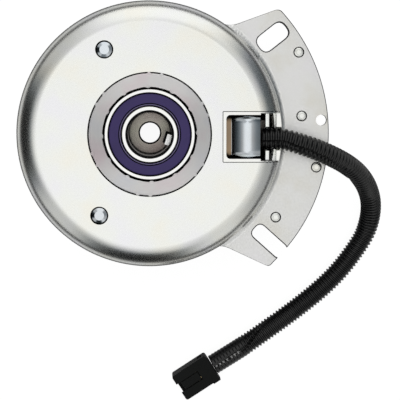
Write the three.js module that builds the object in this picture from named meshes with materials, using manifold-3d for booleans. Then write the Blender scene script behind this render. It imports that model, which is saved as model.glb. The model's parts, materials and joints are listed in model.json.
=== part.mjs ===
/*
 * Electromagnetic clutch that drives a belt pulley from an engine's crankshaft.
 *
 * Millimetres, +Z along the shaft towards the engine. The origin lies on the shaft axis, in the plane
 * that the clutch stands on when it is off the engine. A pressed field cup with its fixing flange is the
 * top of the stack, and the rotor, armature, pulley and end washer follow below it. The coil's lead
 * leaves through a window in the cup on the +X side, in a corrugated conduit that lies on the ground.
 */
import * as THREE from "three";
import { mergeVertices } from "three/addons/utils/BufferGeometryUtils.js";
import Module from "manifold-3d";

const wasm = await Module();
wasm.setup();

// ---- Driving dimensions ------------------------------------------------------------------------

const GAP = 0.3;
const SHAFT_R = 12.7;
const CLEAR_SHAFT_R = 12.9;
const BEARING = { outerR: 26, innerWallR: 15.8, outerWallR: 23.35, width: 15, ballR: 3.9, balls: 9 };
const BALL_CIRCLE_R = (BEARING.innerWallR + BEARING.outerWallR) / 2;
const SEAT_R = BEARING.outerR + GAP;

// Heights of the stack, from the ground up.
const WASHER_BOTTOM = 0.6;
const WASHER_TOP = 5.9;
const LOW_BEARING_Z = WASHER_TOP + GAP;
const SPACER_Z = LOW_BEARING_Z + BEARING.width + GAP;
const SPACER_TOP = SPACER_Z + 3;
const ROTOR_Z = SPACER_TOP + GAP;
const TOP_Z = 67.5;
const HIGH_BEARING_Z = TOP_Z - BEARING.width;
const ROTOR_TOP = HIGH_BEARING_Z - GAP;
const SHEAVE = { top: 25.5, radius: 66, floorR: 50.5, floor: [12.5, 16.7], rim: [6.7, 22.5], lipR: 24 };
const RECESS = { fromR: 31, toR: 46.5, taper: 1, depth: 3.6 };
const SNAP_RING = { innerR: 24.6, outerR: 27.2, bottom: 4.6, top: 5.8, gapWidth: 8, gapAt: 200 };
const SNAP_GROOVE = { outerR: 27.6, clearance: 0.2 };
const ARMATURE = { bottom: 33, top: 37.4, innerR: 42, outerR: 71.4 };
const DISC = { bottom: 38, top: 43, outerR: 71.6, rimInnerR: 68.6, rimTop: 47 };
const DISC_SLOTS = { count: 6, span: 50, first: 5, rings: [[46, 49], [60, 63]] };
const ARMATURE_SLOTS = { innerR: 52.5, outerR: 55.5, span: 92, afterRivet: 14 };
const ROTOR_HUB = { noseR: 16.5, shoulderR: 20, lowStep: 4, highStep: 2 };
const SPACER_R = 16.5;
const WASHER_R = { bolt: 6.1, outer: 19 };

// Field cup, its flange and what is pressed into it.
const SHEET = 3.8;
const CUP_SEGMENTS = 48;
const CUP = { outerR: 76, shoulderR: 12.5, bottom: 37 };
const HUB_RING = { outerR: 34.6, chamferR: 27.6, chamfer: 1.3, bottom: 43.6 };
const FLANGE = { top: CUP.bottom + SHEET, radius: 105.5, insideR: 74, filletR: 5 };
const FLANGE_RIVET_R = 3;
const FLANGE_RIVETS = [[101, 28.4], [90.6, 6.8], [100.6, -11], [89.9, -32.7]];
const FLANGE_HOLE = { at: [101.3, 4.5], radius: 3.2 };
const SLOT = { at: [93.5, 37.9], length: 19.9, width: 10.9, cornerR: 4.6 };
const NOTCH = { at: [95.2, -41.1], length: 24, width: 9.1, cornerR: 2.8 };
const COIL_RIVETS = [[54.3, 118], [54.3, 238]];
const COIL_RIVET = { headR: 4.9, shankR: 2.5, head: 5, domeR: 3.6, dome: 0.5 };
const BOBBIN = { innerR: 35.2, outerR: 61.5, bottom: 44.5, top: 58.5, wall: 1.5 };
const WINDOW = { from: 43.5, y: [-13.9, 11.1], wallTop: 58.5 };
const LEAD_COVER = { outerR: 11, sheet: 1.2, halfAngle: 63, x: 53.8, z: 54.4 };
const LEAD_RETAINER = { x: [66.4, 69.4], z: [48, 60] };
const COIL_LEAD = { radius: 1.2, x: [59.9, 64], spacing: 1.8, z: 53.5 };

// The drive: springs between pulley and armature, the brake and the slots of the magnetic poles.
const DRIVE = { circleR: 54, first: 20, step: 50, springWidth: 9, springThick: 0.8 };
const DRIVE_COUNT = 3;
const RIVET_SHANK_R = 2.2;
const RIVET_HOLE_R = 2.5;
const RIVET_HEAD_R = 4.2;
const RIVET_HOLE_DEPTH = 3.9;
const SUNK_HEAD = { radius: 4, holeR: 4.3, depth: 2.6 };
const BRAKE = { from: -36.5, to: 32, innerR: 61, liningR: 71, wallR: 78.6, outerR: 104 };
const BRAKE_Z = { ledge: 26.8, lining: 29.9, top: 36.7, sheet: 2.8 };

// The lead: conduit and plug.
const LOOM_R = 6.25;
const LOOM_EXIT = { y: -2.6, z: 56.5, slotR: 6.8 };
const LOOM_STEPS = 30;
const LOOM_SIDES = 10;
const PLUG_PLACE = { at: [27.9, -150.9], heading: 213 };
const PLUG = { length: 24.4, width: 17.4, height: 13, bottom: 0.3, wall: 1.8 };
const PLUG_RIB = { length: 5, proud: 1.1, inset: 2 };
const PLUG_LATCH = { from: 9, halfWidth: 3, depth: 2.5, lockHalfWidth: 2.6, lockThick: 1.4, lockEnd: 3 };
const TERMINAL = { from: 6.4, end: 7.5, spacing: 3.6, half: 2, halfHeight: 1.4 };

// The conduit's centre line: straight out of the cup, down to the ground, then along it to the plug.
const LOOM_ROUTE = [
  [64.4, -2.6, 56.5],
  [76, -2.8, 56.5],
  [86, -5.4, 56.3],
  [96, -8.8, 54.2],
  [106, -13, 50],
  [116, -18.2, 43],
  [124.4, -24.5, 34.5],
  [130.8, -32.6, 25.5],
  [134.6, -42, 17],
  [135.2, -52, 10.6],
  [132.8, -62, 7.3],
  [127.6, -71.2, 6.6],
  [117, -85.2, 6.6],
  [106.2, -96, 6.6],
  [91.8, -107.8, 6.6],
  [74.6, -120.4, 6.6],
  [57.6, -132.2, 6.6],
  [38.9, -143.9, 6.6]
];

// ---- Geometry helpers --------------------------------------------------------------------------

const radians = THREE.MathUtils.degToRad;

function polar(radius, degrees) {
  return [radius * Math.cos(radians(degrees)), radius * Math.sin(radians(degrees))];
}

/** Points of an arc from one angle to another, in degrees, ends included. */
function arc(centre, radius, from, to, steps) {
  return Array.from({ length: steps + 1 }, (_, i) => {
    const [x, y] = polar(radius, from + ((to - from) * i) / steps);
    return [centre[0] + x, centre[1] + y];
  });
}

/** Turns a geometry right side out: its enclosed volume has to be positive. */
function faceOut(geometry) {
  const flat = geometry.index ? geometry.toNonIndexed() : geometry;
  const p = flat.attributes.position;
  const [a, b, c] = [new THREE.Vector3(), new THREE.Vector3(), new THREE.Vector3()];
  let volume = 0;
  for (let i = 0; i < p.count; i += 3) {
    a.fromBufferAttribute(p, i);
    b.fromBufferAttribute(p, i + 1);
    c.fromBufferAttribute(p, i + 2);
    volume += a.dot(b.cross(c)) / 6;
  }
  if (volume < 0) {
    for (let i = 0; i < p.count; i += 3) {
      b.fromBufferAttribute(p, i + 1);
      c.fromBufferAttribute(p, i + 2);
      p.setXYZ(i + 1, c.x, c.y, c.z);
      p.setXYZ(i + 2, b.x, b.y, b.z);
    }
  }
  return flat;
}

/** Revolves a closed [radius, height] outline about the shaft axis. */
function revolve(outline, segments = 32) {
  const closed = [...outline, outline[0]].map(([r, z]) => new THREE.Vector2(r, z));
  return faceOut(new THREE.LatheGeometry(closed, segments).rotateX(Math.PI / 2));
}

/** A solid of revolution whose [radius, height] outline starts and ends on its own axis. */
function turned(outline, segments = 16) {
  const points = outline.map(([r, z]) => new THREE.Vector2(r, z));
  return faceOut(new THREE.LatheGeometry(points, segments).rotateX(Math.PI / 2));
}

function ring(innerR, outerR, bottom, top, segments = 32) {
  return revolve([[innerR, bottom], [outerR, bottom], [outerR, top], [innerR, top]], segments);
}

function disc(radius, bottom, top, segments = 16) {
  return turned([[0, bottom], [radius, bottom], [radius, top], [0, top]], segments);
}

function block(x, y, z) {
  return new THREE.BoxGeometry(x[1] - x[0], y[1] - y[0], z[1] - z[0])
    .translate((x[0] + x[1]) / 2, (y[0] + y[1]) / 2, (z[0] + z[1]) / 2);
}

/** A plate of any outline between two heights. */
function plate(shape, bottom, top, curveSegments = 6) {
  const options = { depth: top - bottom, bevelEnabled: false, curveSegments };
  return new THREE.ExtrudeGeometry(shape, options).translate(0, 0, bottom);
}

/** A plate bounded by two arcs about the shaft axis. */
function sector(innerR, outerR, from, to, bottom, top, steps = 12) {
  const outline = [...arc([0, 0], outerR, from, to, steps), ...arc([0, 0], innerR, to, from, steps)];
  return plate(new THREE.Shape(outline.map(([x, y]) => new THREE.Vector2(x, y))), bottom, top);
}

/** A bar with rounded corners, long side along X, centred on the axis. */
function roundedBar(length, width, cornerR, bottom, top) {
  const [x, y] = [length / 2 - cornerR, width / 2 - cornerR];
  const corners = [[x, y, 0], [-x, y, 90], [-x, -y, 180], [x, -y, 270]];
  const outline = corners.flatMap(([cx, cy, start]) => arc([cx, cy], cornerR, start, start + 90, 3));
  return plate(new THREE.Shape(outline.map(([px, py]) => new THREE.Vector2(px, py))), bottom, top);
}

/** Moves a geometry out to a polar place, turned to face along its radius. */
function toPolar(geometry, [radius, degrees]) {
  return geometry.translate(radius, 0, 0).rotateZ(radians(degrees));
}

function toSolid(geometry) {
  const bare = geometry.clone();
  bare.deleteAttribute("normal");
  bare.deleteAttribute("uv");
  const merged = mergeVertices(bare, 1e-4);
  const mesh = new wasm.Mesh({
    numProp: 3,
    vertProperties: new Float32Array(merged.attributes.position.array),
    triVerts: new Uint32Array(merged.index.array)
  });
  return new wasm.Manifold(mesh);
}

function toGeometry(solid) {
  const mesh = solid.getMesh();
  const geometry = new THREE.BufferGeometry();
  geometry.setAttribute("position", new THREE.BufferAttribute(mesh.vertProperties, 3));
  geometry.setIndex(new THREE.BufferAttribute(mesh.triVerts, 1));
  return geometry;
}

function join(...geometries) {
  return toGeometry(geometries.map(toSolid).reduce((whole, piece) => whole.add(piece)));
}

function cut(geometry, ...tools) {
  return toGeometry(tools.map(toSolid).reduce((rest, tool) => rest.subtract(tool), toSolid(geometry)));
}

function common(first, second) {
  return toGeometry(toSolid(first).intersect(toSolid(second)));
}

// ---- Finishes ----------------------------------------------------------------------------------

function finish(color, roughness, metalness) {
  return new THREE.MeshStandardMaterial({ color, roughness, metalness });
}

const FINISH = {
  zinc: finish(0xd9dcdc, 0.35, 1),
  turnedSteel: finish(0xc9c6c3, 0.3, 1),
  bearingSteel: finish(0xd8d8da, 0.15, 1),
  brightSteel: finish(0xe6e8ea, 0.1, 1),
  ironGrey: finish(0x5b5d60, 0.5, 1),
  springSteel: finish(0x6a6f78, 0.3, 1),
  seal: finish(0x4a406e, 0.55, 0),
  copper: finish(0xb86b3a, 0.35, 1),
  bobbin: finish(0x23282c, 0.5, 0),
  lining: finish(0x6b5a4a, 0.9, 0),
  loom: finish(0x141414, 0.45, 0),
  plug: finish(0x121314, 0.5, 0),
  lock: finish(0x2b2c30, 0.5, 0),
  terminal: finish(0xc9b070, 0.3, 1)
};

const clutch = new THREE.Group();

function assembly() {
  const group = new THREE.Group();
  clutch.add(group);
  return group;
}

function add(group, name, geometry, material) {
  const mesh = new THREE.Mesh(geometry, material);
  mesh.name = name;
  group.add(mesh);
  return mesh;
}

// ---- Field cup and flange ----------------------------------------------------------------------

/** Plan of the flange: one outer arc, two straight sides and a blend from each side into the cup. */
function flangeShape() {
  const shape = new THREE.Shape();
  shape.moveTo(...polar(FLANGE.insideR, 61));
  shape.lineTo(...polar(CUP.outerR, 61));
  shape.quadraticCurveTo(44.4, 61.7, 52.6, 64.7);
  shape.lineTo(73.2, 72.2);
  shape.quadraticCurveTo(76.4, 73.3, ...polar(FLANGE.radius, 42.2));
  shape.absarc(0, 0, FLANGE.radius, radians(42.2), radians(-46.4), true);
  shape.quadraticCurveTo(70.9, -79.1, 68.9, -78.2);
  shape.lineTo(47, -67.9);
  shape.quadraticCurveTo(40, -64.6, ...polar(CUP.outerR, -64.5));
  shape.lineTo(...polar(FLANGE.insideR, -64.5));
  shape.absarc(0, 0, FLANGE.insideR, radians(-64.5), radians(61), false);
  return shape;
}

function cupBody() {
  const flatR = CUP.outerR - CUP.shoulderR;
  const shoulderZ = TOP_Z - CUP.shoulderR;
  const boreR = HUB_RING.outerR + GAP;
  return revolve([
    [boreR, TOP_Z],
    ...arc([flatR, shoulderZ], CUP.shoulderR, 90, 0, 5),
    [CUP.outerR, CUP.bottom],
    [CUP.outerR - SHEET, CUP.bottom],
    ...arc([flatR, shoulderZ], CUP.shoulderR - SHEET, 0, 90, 2),
    [boreR, TOP_Z - SHEET]
  ], CUP_SEGMENTS);
}

/** The hollow fillet in the corner between the cup's wall and its flange. */
function flangeFillet() {
  const outerR = CUP.outerR + FLANGE.filletR;
  const profile = revolve([
    [CUP.outerR - 1, FLANGE.top - 1],
    [outerR, FLANGE.top - 1],
    ...arc([outerR, FLANGE.top + FLANGE.filletR], FLANGE.filletR, 270, 180, 2),
    [CUP.outerR - 1, FLANGE.top + FLANGE.filletR]
  ], CUP_SEGMENTS);
  return common(profile, plate(flangeShape(), CUP.bottom, FLANGE.top + 2 * FLANGE.filletR, 9));
}

/** What is taken out for the lead: the window in the top, and an open slot in the wall left below it. */
function windowTools() {
  const above = TOP_Z + 1;
  const outside = CUP.outerR + 1;
  const wallInside = CUP.outerR - SHEET;
  const slotY = [LOOM_EXIT.y - LOOM_EXIT.slotR, LOOM_EXIT.y + LOOM_EXIT.slotR];
  return [
    block([WINDOW.from, wallInside - 2 * GAP], WINDOW.y, [WINDOW.wallTop - 8, above]),
    block([WINDOW.from + 1, outside], WINDOW.y, [WINDOW.wallTop, above]),
    disc(LOOM_EXIT.slotR, 0, 20).rotateY(Math.PI / 2).translate(60, LOOM_EXIT.y, LOOM_EXIT.z),
    block([60, outside], slotY, [LOOM_EXIT.z, above])
  ];
}

function fieldShell() {
  const through = [CUP.bottom - 1, FLANGE.top + 1];
  const holes = FLANGE_RIVETS.map((at) => toPolar(disc(FLANGE_RIVET_R + GAP, ...through, 14), at));
  holes.push(toPolar(disc(FLANGE_HOLE.radius, ...through, 14), FLANGE_HOLE.at));
  holes.push(toPolar(roundedBar(SLOT.length, SLOT.width, SLOT.cornerR, ...through), SLOT.at));
  holes.push(toPolar(roundedBar(NOTCH.length, NOTCH.width, NOTCH.cornerR, ...through), NOTCH.at));
  const rivetHoles = COIL_RIVETS.map((at) => {
    return toPolar(disc(COIL_RIVET.headR + GAP, TOP_Z - COIL_RIVET.head, TOP_Z + 1), at);
  });
  const flange = plate(flangeShape(), CUP.bottom, FLANGE.top, 9);
  return cut(join(cupBody(), flange, flangeFillet()), ...holes, ...rivetHoles, ...windowTools());
}

function hubRing() {
  return revolve([
    [HUB_RING.chamferR, TOP_Z],
    [HUB_RING.outerR, TOP_Z],
    [HUB_RING.outerR, HUB_RING.bottom],
    [BEARING.outerWallR, HUB_RING.bottom],
    [BEARING.outerWallR, HIGH_BEARING_Z - GAP],
    [SEAT_R, HIGH_BEARING_Z - GAP],
    [SEAT_R, TOP_Z - HUB_RING.chamfer]
  ]);
}

function coilRivet() {
  const { headR, shankR, head, domeR, dome } = COIL_RIVET;
  const underHead = TOP_Z - head;
  return turned([
    [0, BOBBIN.top + GAP],
    [shankR, BOBBIN.top + GAP],
    [shankR, underHead],
    [headR, underHead],
    [headR, TOP_Z - 0.6],
    [domeR, TOP_Z + 0.2],
    [0, TOP_Z + dome]
  ]);
}

function bobbin() {
  const { innerR, outerR, bottom, top, wall } = BOBBIN;
  return revolve([
    [innerR, bottom],
    [outerR, bottom],
    [outerR, bottom + wall],
    [innerR + wall, bottom + wall],
    [innerR + wall, top - wall],
    [outerR, top - wall],
    [outerR, top],
    [innerR, top]
  ]);
}

function winding() {
  const { innerR, outerR, bottom, top, wall } = BOBBIN;
  return ring(innerR + wall + GAP, outerR - 2, bottom + wall + GAP, top - wall - GAP);
}

/** Arched cover over the coil's lead, with its axis across the window. */
function leadCover() {
  const { outerR, sheet, halfAngle, x: centreX, z: centreZ } = LEAD_COVER;
  const outline = [...arc([0, 0], outerR, 90 - halfAngle, 90 + halfAngle, 10),
    ...arc([0, 0], outerR - sheet, 90 + halfAngle, 90 - halfAngle, 10)];
  const length = WINDOW.y[1] - WINDOW.y[0] - 2 * GAP;
  const shape = new THREE.Shape(outline.map(([x, y]) => new THREE.Vector2(x, y)));
  return plate(shape, -length / 2, length / 2)
    .rotateX(Math.PI / 2)
    .translate(centreX, (WINDOW.y[0] + WINDOW.y[1]) / 2, centreZ);
}

/** Upright plate that the conduit is pushed down into. */
function leadRetainer() {
  const { x, z } = LEAD_RETAINER;
  const body = block(x, [WINDOW.y[0] + GAP, WINDOW.y[1] - GAP], z);
  const slotY = [LOOM_EXIT.y - LOOM_EXIT.slotR, LOOM_EXIT.y + LOOM_EXIT.slotR];
  const mouth = block([x[0] - 1, x[1] + 1], slotY, [LOOM_EXIT.z, z[1] + 1]);
  const seat = disc(LOOM_EXIT.slotR, x[0] - 1, x[1] + 1).rotateY(Math.PI / 2);
  return cut(body, mouth, seat.translate(0, LOOM_EXIT.y, LOOM_EXIT.z));
}

function flangeRivet() {
  const headTop = BRAKE_Z.top - BRAKE_Z.sheet - GAP;
  return turned([
    [0, headTop - 2],
    [4.2, headTop - 2],
    [4.8, headTop - 1],
    [4.8, headTop],
    [FLANGE_RIVET_R, headTop],
    [FLANGE_RIVET_R, FLANGE.top - 0.2],
    [FLANGE_RIVET_R - 0.4, FLANGE.top],
    [0, FLANGE.top]
  ], 16);
}

/** Stepped bracket under the flange: an outer rim, an upright wall and the ledge for the lining. */
function brakeBracket() {
  const { from, to } = BRAKE;
  const rim = sector(BRAKE.wallR, BRAKE.outerR, from, to, BRAKE_Z.top - BRAKE_Z.sheet, BRAKE_Z.top);
  const wall = sector(BRAKE.wallR, BRAKE.wallR + BRAKE_Z.sheet, from, to, BRAKE_Z.ledge, BRAKE_Z.top);
  const ledge = sector(BRAKE.innerR, BRAKE.wallR + BRAKE_Z.sheet, from, to,
    BRAKE_Z.ledge, BRAKE_Z.ledge + BRAKE_Z.sheet);
  const through = [BRAKE_Z.top - BRAKE_Z.sheet - 1, BRAKE_Z.top + 1];
  const holes = FLANGE_RIVETS.map((at) => toPolar(disc(FLANGE_RIVET_R + GAP, ...through, 14), at));
  holes.push(toPolar(disc(FLANGE_HOLE.radius + 1, ...through, 14), FLANGE_HOLE.at));
  return cut(join(rim, wall, ledge), ...holes);
}

function brakeLining() {
  const span = [BRAKE.from + 1, BRAKE.to - 1];
  return sector(BRAKE.innerR + 0.5, BRAKE.liningR, ...span, BRAKE_Z.lining, ARMATURE.bottom - GAP);
}

// ---- Bearings ----------------------------------------------------------------------------------

const GROOVE_R = BEARING.ballR + GAP;
const GROOVE_HALF = THREE.MathUtils.radToDeg(Math.acos((BALL_CIRCLE_R - BEARING.innerWallR) / GROOVE_R));

function innerRing(bottom) {
  const middle = bottom + BEARING.width / 2;
  return revolve([
    [SHAFT_R, bottom],
    [BEARING.innerWallR, bottom],
    ...arc([BALL_CIRCLE_R, middle], GROOVE_R, 180 + GROOVE_HALF, 180 - GROOVE_HALF, 2),
    [BEARING.innerWallR, bottom + BEARING.width],
    [SHAFT_R, bottom + BEARING.width]
  ], 26);
}

function outerRing(bottom) {
  const middle = bottom + BEARING.width / 2;
  return revolve([
    [BEARING.outerR, bottom],
    [BEARING.outerR, bottom + BEARING.width],
    [BEARING.outerWallR, bottom + BEARING.width],
    ...arc([BALL_CIRCLE_R, middle], GROOVE_R, GROOVE_HALF, -GROOVE_HALF, 2),
    [BEARING.outerWallR, bottom]
  ], 26);
}

function bearingSeal(bottom) {
  return ring(BEARING.innerWallR + 0.5, BEARING.outerWallR - GAP, bottom, bottom + 0.8, 24);
}

function cageRing(bottom) {
  const middle = bottom + BEARING.width / 2;
  const band = ring(BALL_CIRCLE_R - 1, BALL_CIRCLE_R + 1, middle - 5.2, middle + 5.2, 27);
  const pockets = ballPlaces().map((degrees) => {
    const pocket = disc(GROOVE_R, -6, 6, 8).rotateY(Math.PI / 2);
    return toPolar(pocket.translate(0, 0, middle), [BALL_CIRCLE_R, degrees]);
  });
  return cut(band, ...pockets);
}

function ballPlaces() {
  return Array.from({ length: BEARING.balls }, (_, i) => (360 * i) / BEARING.balls);
}

function ball(bottom, degrees, detail = 1) {
  const sphere = new THREE.IcosahedronGeometry(BEARING.ballR, detail);
  return toPolar(sphere.translate(0, 0, bottom + BEARING.width / 2), [BALL_CIRCLE_R, degrees]);
}

/** The lower bearing's cage, closed round its balls so that they turn as one piece with it. */
function filledCage(bottom) {
  const middle = bottom + BEARING.width / 2;
  const band = ring(BALL_CIRCLE_R - 1, BALL_CIRCLE_R + 1, middle - 5.2, middle + 5.2, 27);
  return join(band, ...ballPlaces().map((degrees) => ball(bottom, degrees, 0)));
}

// ---- Rotor -------------------------------------------------------------------------------------

const KEY = { width: 6.3, innerR: 10.2, degrees: -17.4, bottom: ROTOR_Z, top: ROTOR_TOP - 1 };

function rotorHub() {
  const { noseR, shoulderR, lowStep, highStep } = ROTOR_HUB;
  const body = revolve([
    [CLEAR_SHAFT_R, ROTOR_Z],
    [noseR, ROTOR_Z],
    [shoulderR, ROTOR_Z + lowStep],
    [shoulderR, ROTOR_TOP - highStep],
    [noseR, ROTOR_TOP],
    [CLEAR_SHAFT_R, ROTOR_TOP]
  ]);
  const key = block([KEY.innerR, CLEAR_SHAFT_R + 1], [-KEY.width / 2, KEY.width / 2], [KEY.bottom, KEY.top]);
  return join(body, key.rotateZ(radians(KEY.degrees)));
}

function rotorDisc() {
  const innerR = ROTOR_HUB.shoulderR + GAP;
  const body = revolve([
    [innerR, DISC.bottom],
    [DISC.outerR, DISC.bottom],
    [DISC.outerR, DISC.rimTop],
    [DISC.rimInnerR, DISC.rimTop],
    [DISC.rimInnerR, DISC.top],
    [innerR, DISC.top]
  ], 34);
  const { count, span, first, rings } = DISC_SLOTS;
  const through = [DISC.bottom - 1, DISC.top + 1];
  return cut(body, ...rings.flatMap((radii) => poleSlots(radii, count, span, first, through)));
}

/** Arc-shaped slots that force the magnetic field across the faces. */
function poleSlots([innerR, outerR], count, span, first, [bottom, top]) {
  return Array.from({ length: count }, (_, i) => {
    const from = first + (360 * i) / count;
    return sector(innerR, outerR, from, from + span, bottom, top, 3);
  });
}

// ---- Armature, springs and pulley --------------------------------------------------------------

const SPRING_LOW = SHEAVE.top + GAP;
const SPRING_HIGH = ARMATURE.bottom - 1.6;

function drivePlace(index, step = 0) {
  return [DRIVE.circleR, DRIVE.first + (360 * index) / DRIVE_COUNT + step];
}

function armaturePlate() {
  const body = ring(ARMATURE.innerR, ARMATURE.outerR, ARMATURE.bottom, ARMATURE.top, 34);
  const through = [ARMATURE.bottom - 1, ARMATURE.top + 1];
  const holes = [];
  for (let i = 0; i < DRIVE_COUNT; i += 1) {
    holes.push(toPolar(disc(RIVET_HOLE_R, ...through, 14), drivePlace(i, DRIVE.step)));
    const sink = disc(SUNK_HEAD.holeR, ARMATURE.top - SUNK_HEAD.depth, through[1], 14);
    holes.push(toPolar(sink, drivePlace(i, DRIVE.step)));
  }
  const { innerR, outerR, span, afterRivet } = ARMATURE_SLOTS;
  const firstSlot = DRIVE.first + DRIVE.step + afterRivet;
  const slots = poleSlots([innerR, outerR], DRIVE_COUNT, span, firstSlot, through);
  return cut(body, ...holes, ...slots);
}

function armatureRivet() {
  const headTop = 30.7;
  const sunk = [ARMATURE.top - SUNK_HEAD.depth + GAP, ARMATURE.top - 0.5];
  return turned([
    [0, headTop - 1.5],
    [RIVET_HEAD_R - 0.8, headTop - 1.5],
    [RIVET_HEAD_R, headTop - 0.7],
    [RIVET_HEAD_R, headTop],
    [RIVET_SHANK_R, headTop],
    [RIVET_SHANK_R, sunk[0]],
    [SUNK_HEAD.radius, sunk[0]],
    [SUNK_HEAD.radius, sunk[1]],
    [0, sunk[1]]
  ], 14);
}

function pulleyRivet() {
  const headZ = SPRING_LOW + DRIVE.springThick + GAP;
  const foot = SHEAVE.top - RIVET_HOLE_DEPTH + GAP;
  return turned([
    [0, foot],
    [RIVET_SHANK_R, foot],
    [RIVET_SHANK_R, headZ],
    [RIVET_HEAD_R, headZ],
    [RIVET_HEAD_R, headZ + 0.8],
    [RIVET_HEAD_R - 1, headZ + 1.6],
    [0, headZ + 1.6]
  ], 14);
}

/** Leaf spring from a pulley rivet to an armature rivet: flat at both ends and sloped between. */
function leafSpring() {
  const from = new THREE.Vector2(...polar(DRIVE.circleR, 0));
  const to = new THREE.Vector2(...polar(DRIVE.circleR, DRIVE.step));
  const length = from.distanceTo(to);
  const half = DRIVE.springWidth / 2;
  const thick = DRIVE.springThick;
  const [low, high, flat] = [SPRING_LOW, SPRING_HIGH, 8];
  const side = [[-half, low], [flat, low], [length - flat, high], [length + half, high],
    [length + half, high + thick], [length - flat, high + thick], [flat, low + thick], [-half, low + thick]];
  const strip = plate(new THREE.Shape(side.map(([x, z]) => new THREE.Vector2(x, z))), -half, half)
    .rotateX(Math.PI / 2);
  const ends = roundedBar(length + DRIVE.springWidth, DRIVE.springWidth, half - 0.01, low - 5, high + 5)
    .translate(length / 2, 0, 0);
  const holes = [0, length].map((x) => disc(RIVET_HOLE_R + 0.1, low - 5, high + 5, 14).translate(x, 0, 0));
  const heading = Math.atan2(to.y - from.y, to.x - from.x);
  return cut(common(strip, ends), ...holes).rotateZ(heading).translate(from.x, from.y, 0);
}

/** Lower half of the pulley: its rim is what the clutch stands on. */
function lowerHalf() {
  const { radius, floorR, floor, rim } = SHEAVE;
  const joint = (floor[0] + floor[1]) / 2 - GAP / 2;
  const groove = [SNAP_RING.bottom - SNAP_GROOVE.clearance, SNAP_RING.top + SNAP_GROOVE.clearance];
  return revolve([
    [SEAT_R, joint],
    [SEAT_R, groove[1]],
    [SNAP_GROOVE.outerR, groove[1]],
    [SNAP_GROOVE.outerR, groove[0]],
    [SEAT_R, groove[0]],
    [SEAT_R, 0],
    [RECESS.fromR, 0],
    [RECESS.fromR + RECESS.taper, RECESS.depth],
    [RECESS.toR - RECESS.taper, RECESS.depth],
    [RECESS.toR, 0],
    [radius, 0],
    [radius, rim[0]],
    [floorR, floor[0]],
    [floorR, joint]
  ]);
}

/** Upper half of the pulley: a lip over the bearing, and blind holes for the springs' rivets. */
function upperHalf() {
  const { radius, floorR, floor, rim, top, lipR } = SHEAVE;
  const joint = (floor[0] + floor[1]) / 2 + GAP / 2;
  const bearingTop = LOW_BEARING_Z + BEARING.width + GAP;
  const body = revolve([
    [lipR, top],
    [lipR, bearingTop],
    [SEAT_R, bearingTop],
    [SEAT_R, joint],
    [floorR, joint],
    [floorR, floor[1]],
    [radius, rim[1]],
    [radius, top]
  ]);
  const holes = Array.from({ length: DRIVE_COUNT }, (_, i) =>
    toPolar(disc(RIVET_HOLE_R, top - RIVET_HOLE_DEPTH, top + 1, 14), drivePlace(i)));
  return cut(body, ...holes);
}

/** Internal snap ring with a gap, under the lower bearing. */
function snapRing() {
  const { innerR, outerR, bottom, top, gapWidth, gapAt } = SNAP_RING;
  const gapTool = block([innerR - 4, outerR + 3], [-gapWidth / 2, gapWidth / 2], [bottom - 2, top + 2]);
  return cut(ring(innerR, outerR, bottom, top, 24), gapTool.rotateZ(radians(gapAt)));
}

// ---- Conduit and plug --------------------------------------------------------------------------

function loom() {
  const points = LOOM_ROUTE.map((p) => new THREE.Vector3(...p));
  const curve = new THREE.CatmullRomCurve3(points, false, "centripetal");
  const section = new THREE.Shape();
  section.absarc(0, 0, LOOM_R, 0, 2 * Math.PI, false);
  const curveSegments = LOOM_SIDES / 2;
  const options = { steps: LOOM_STEPS, extrudePath: curve, bevelEnabled: false, curveSegments };
  return new THREE.ExtrudeGeometry(section, options);
}

/** Two-way plug housing along +X, with its mouth at the far end and a rib beside the conduit's end. */
function plugHousing() {
  const { length, width, height, bottom, wall } = PLUG;
  const top = bottom + height;
  const [back, front] = [-length / 2, length / 2 + 1];
  const side = width / 2;
  const body = block([back, length / 2], [-side, side], [bottom, top]);
  const { length: ribLength, proud, inset } = PLUG_RIB;
  const rib = block([back, back + ribLength], [side - 1, side + proud], [bottom + inset, top - inset]);
  const mouth = block([back + 6, front], [wall - side, side - wall], [bottom + wall, top - wall]);
  const { from, halfWidth, depth } = PLUG_LATCH;
  const latch = block([back + from, front], [-halfWidth, halfWidth], [top - depth, top + 1]);
  return cut(join(body, rib), mouth, latch);
}

function plugLock() {
  const { length, height, bottom } = PLUG;
  const { from, lockHalfWidth, lockThick, lockEnd } = PLUG_LATCH;
  const top = bottom + height - 0.2;
  const x = [-length / 2 + from + 0.4, length / 2 - lockEnd];
  return block(x, [-lockHalfWidth, lockHalfWidth], [top - lockThick, top]);
}

function terminal(side) {
  const { length, height, bottom } = PLUG;
  const { from, end, spacing, half, halfHeight } = TERMINAL;
  const middle = bottom + height / 2;
  const y = side * spacing;
  return block([-length / 2 + from, length / 2 - end], [y - half, y + half],
    [middle - halfHeight, middle + halfHeight]);
}

// ---- The assemblies ----------------------------------------------------------------------------

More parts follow.
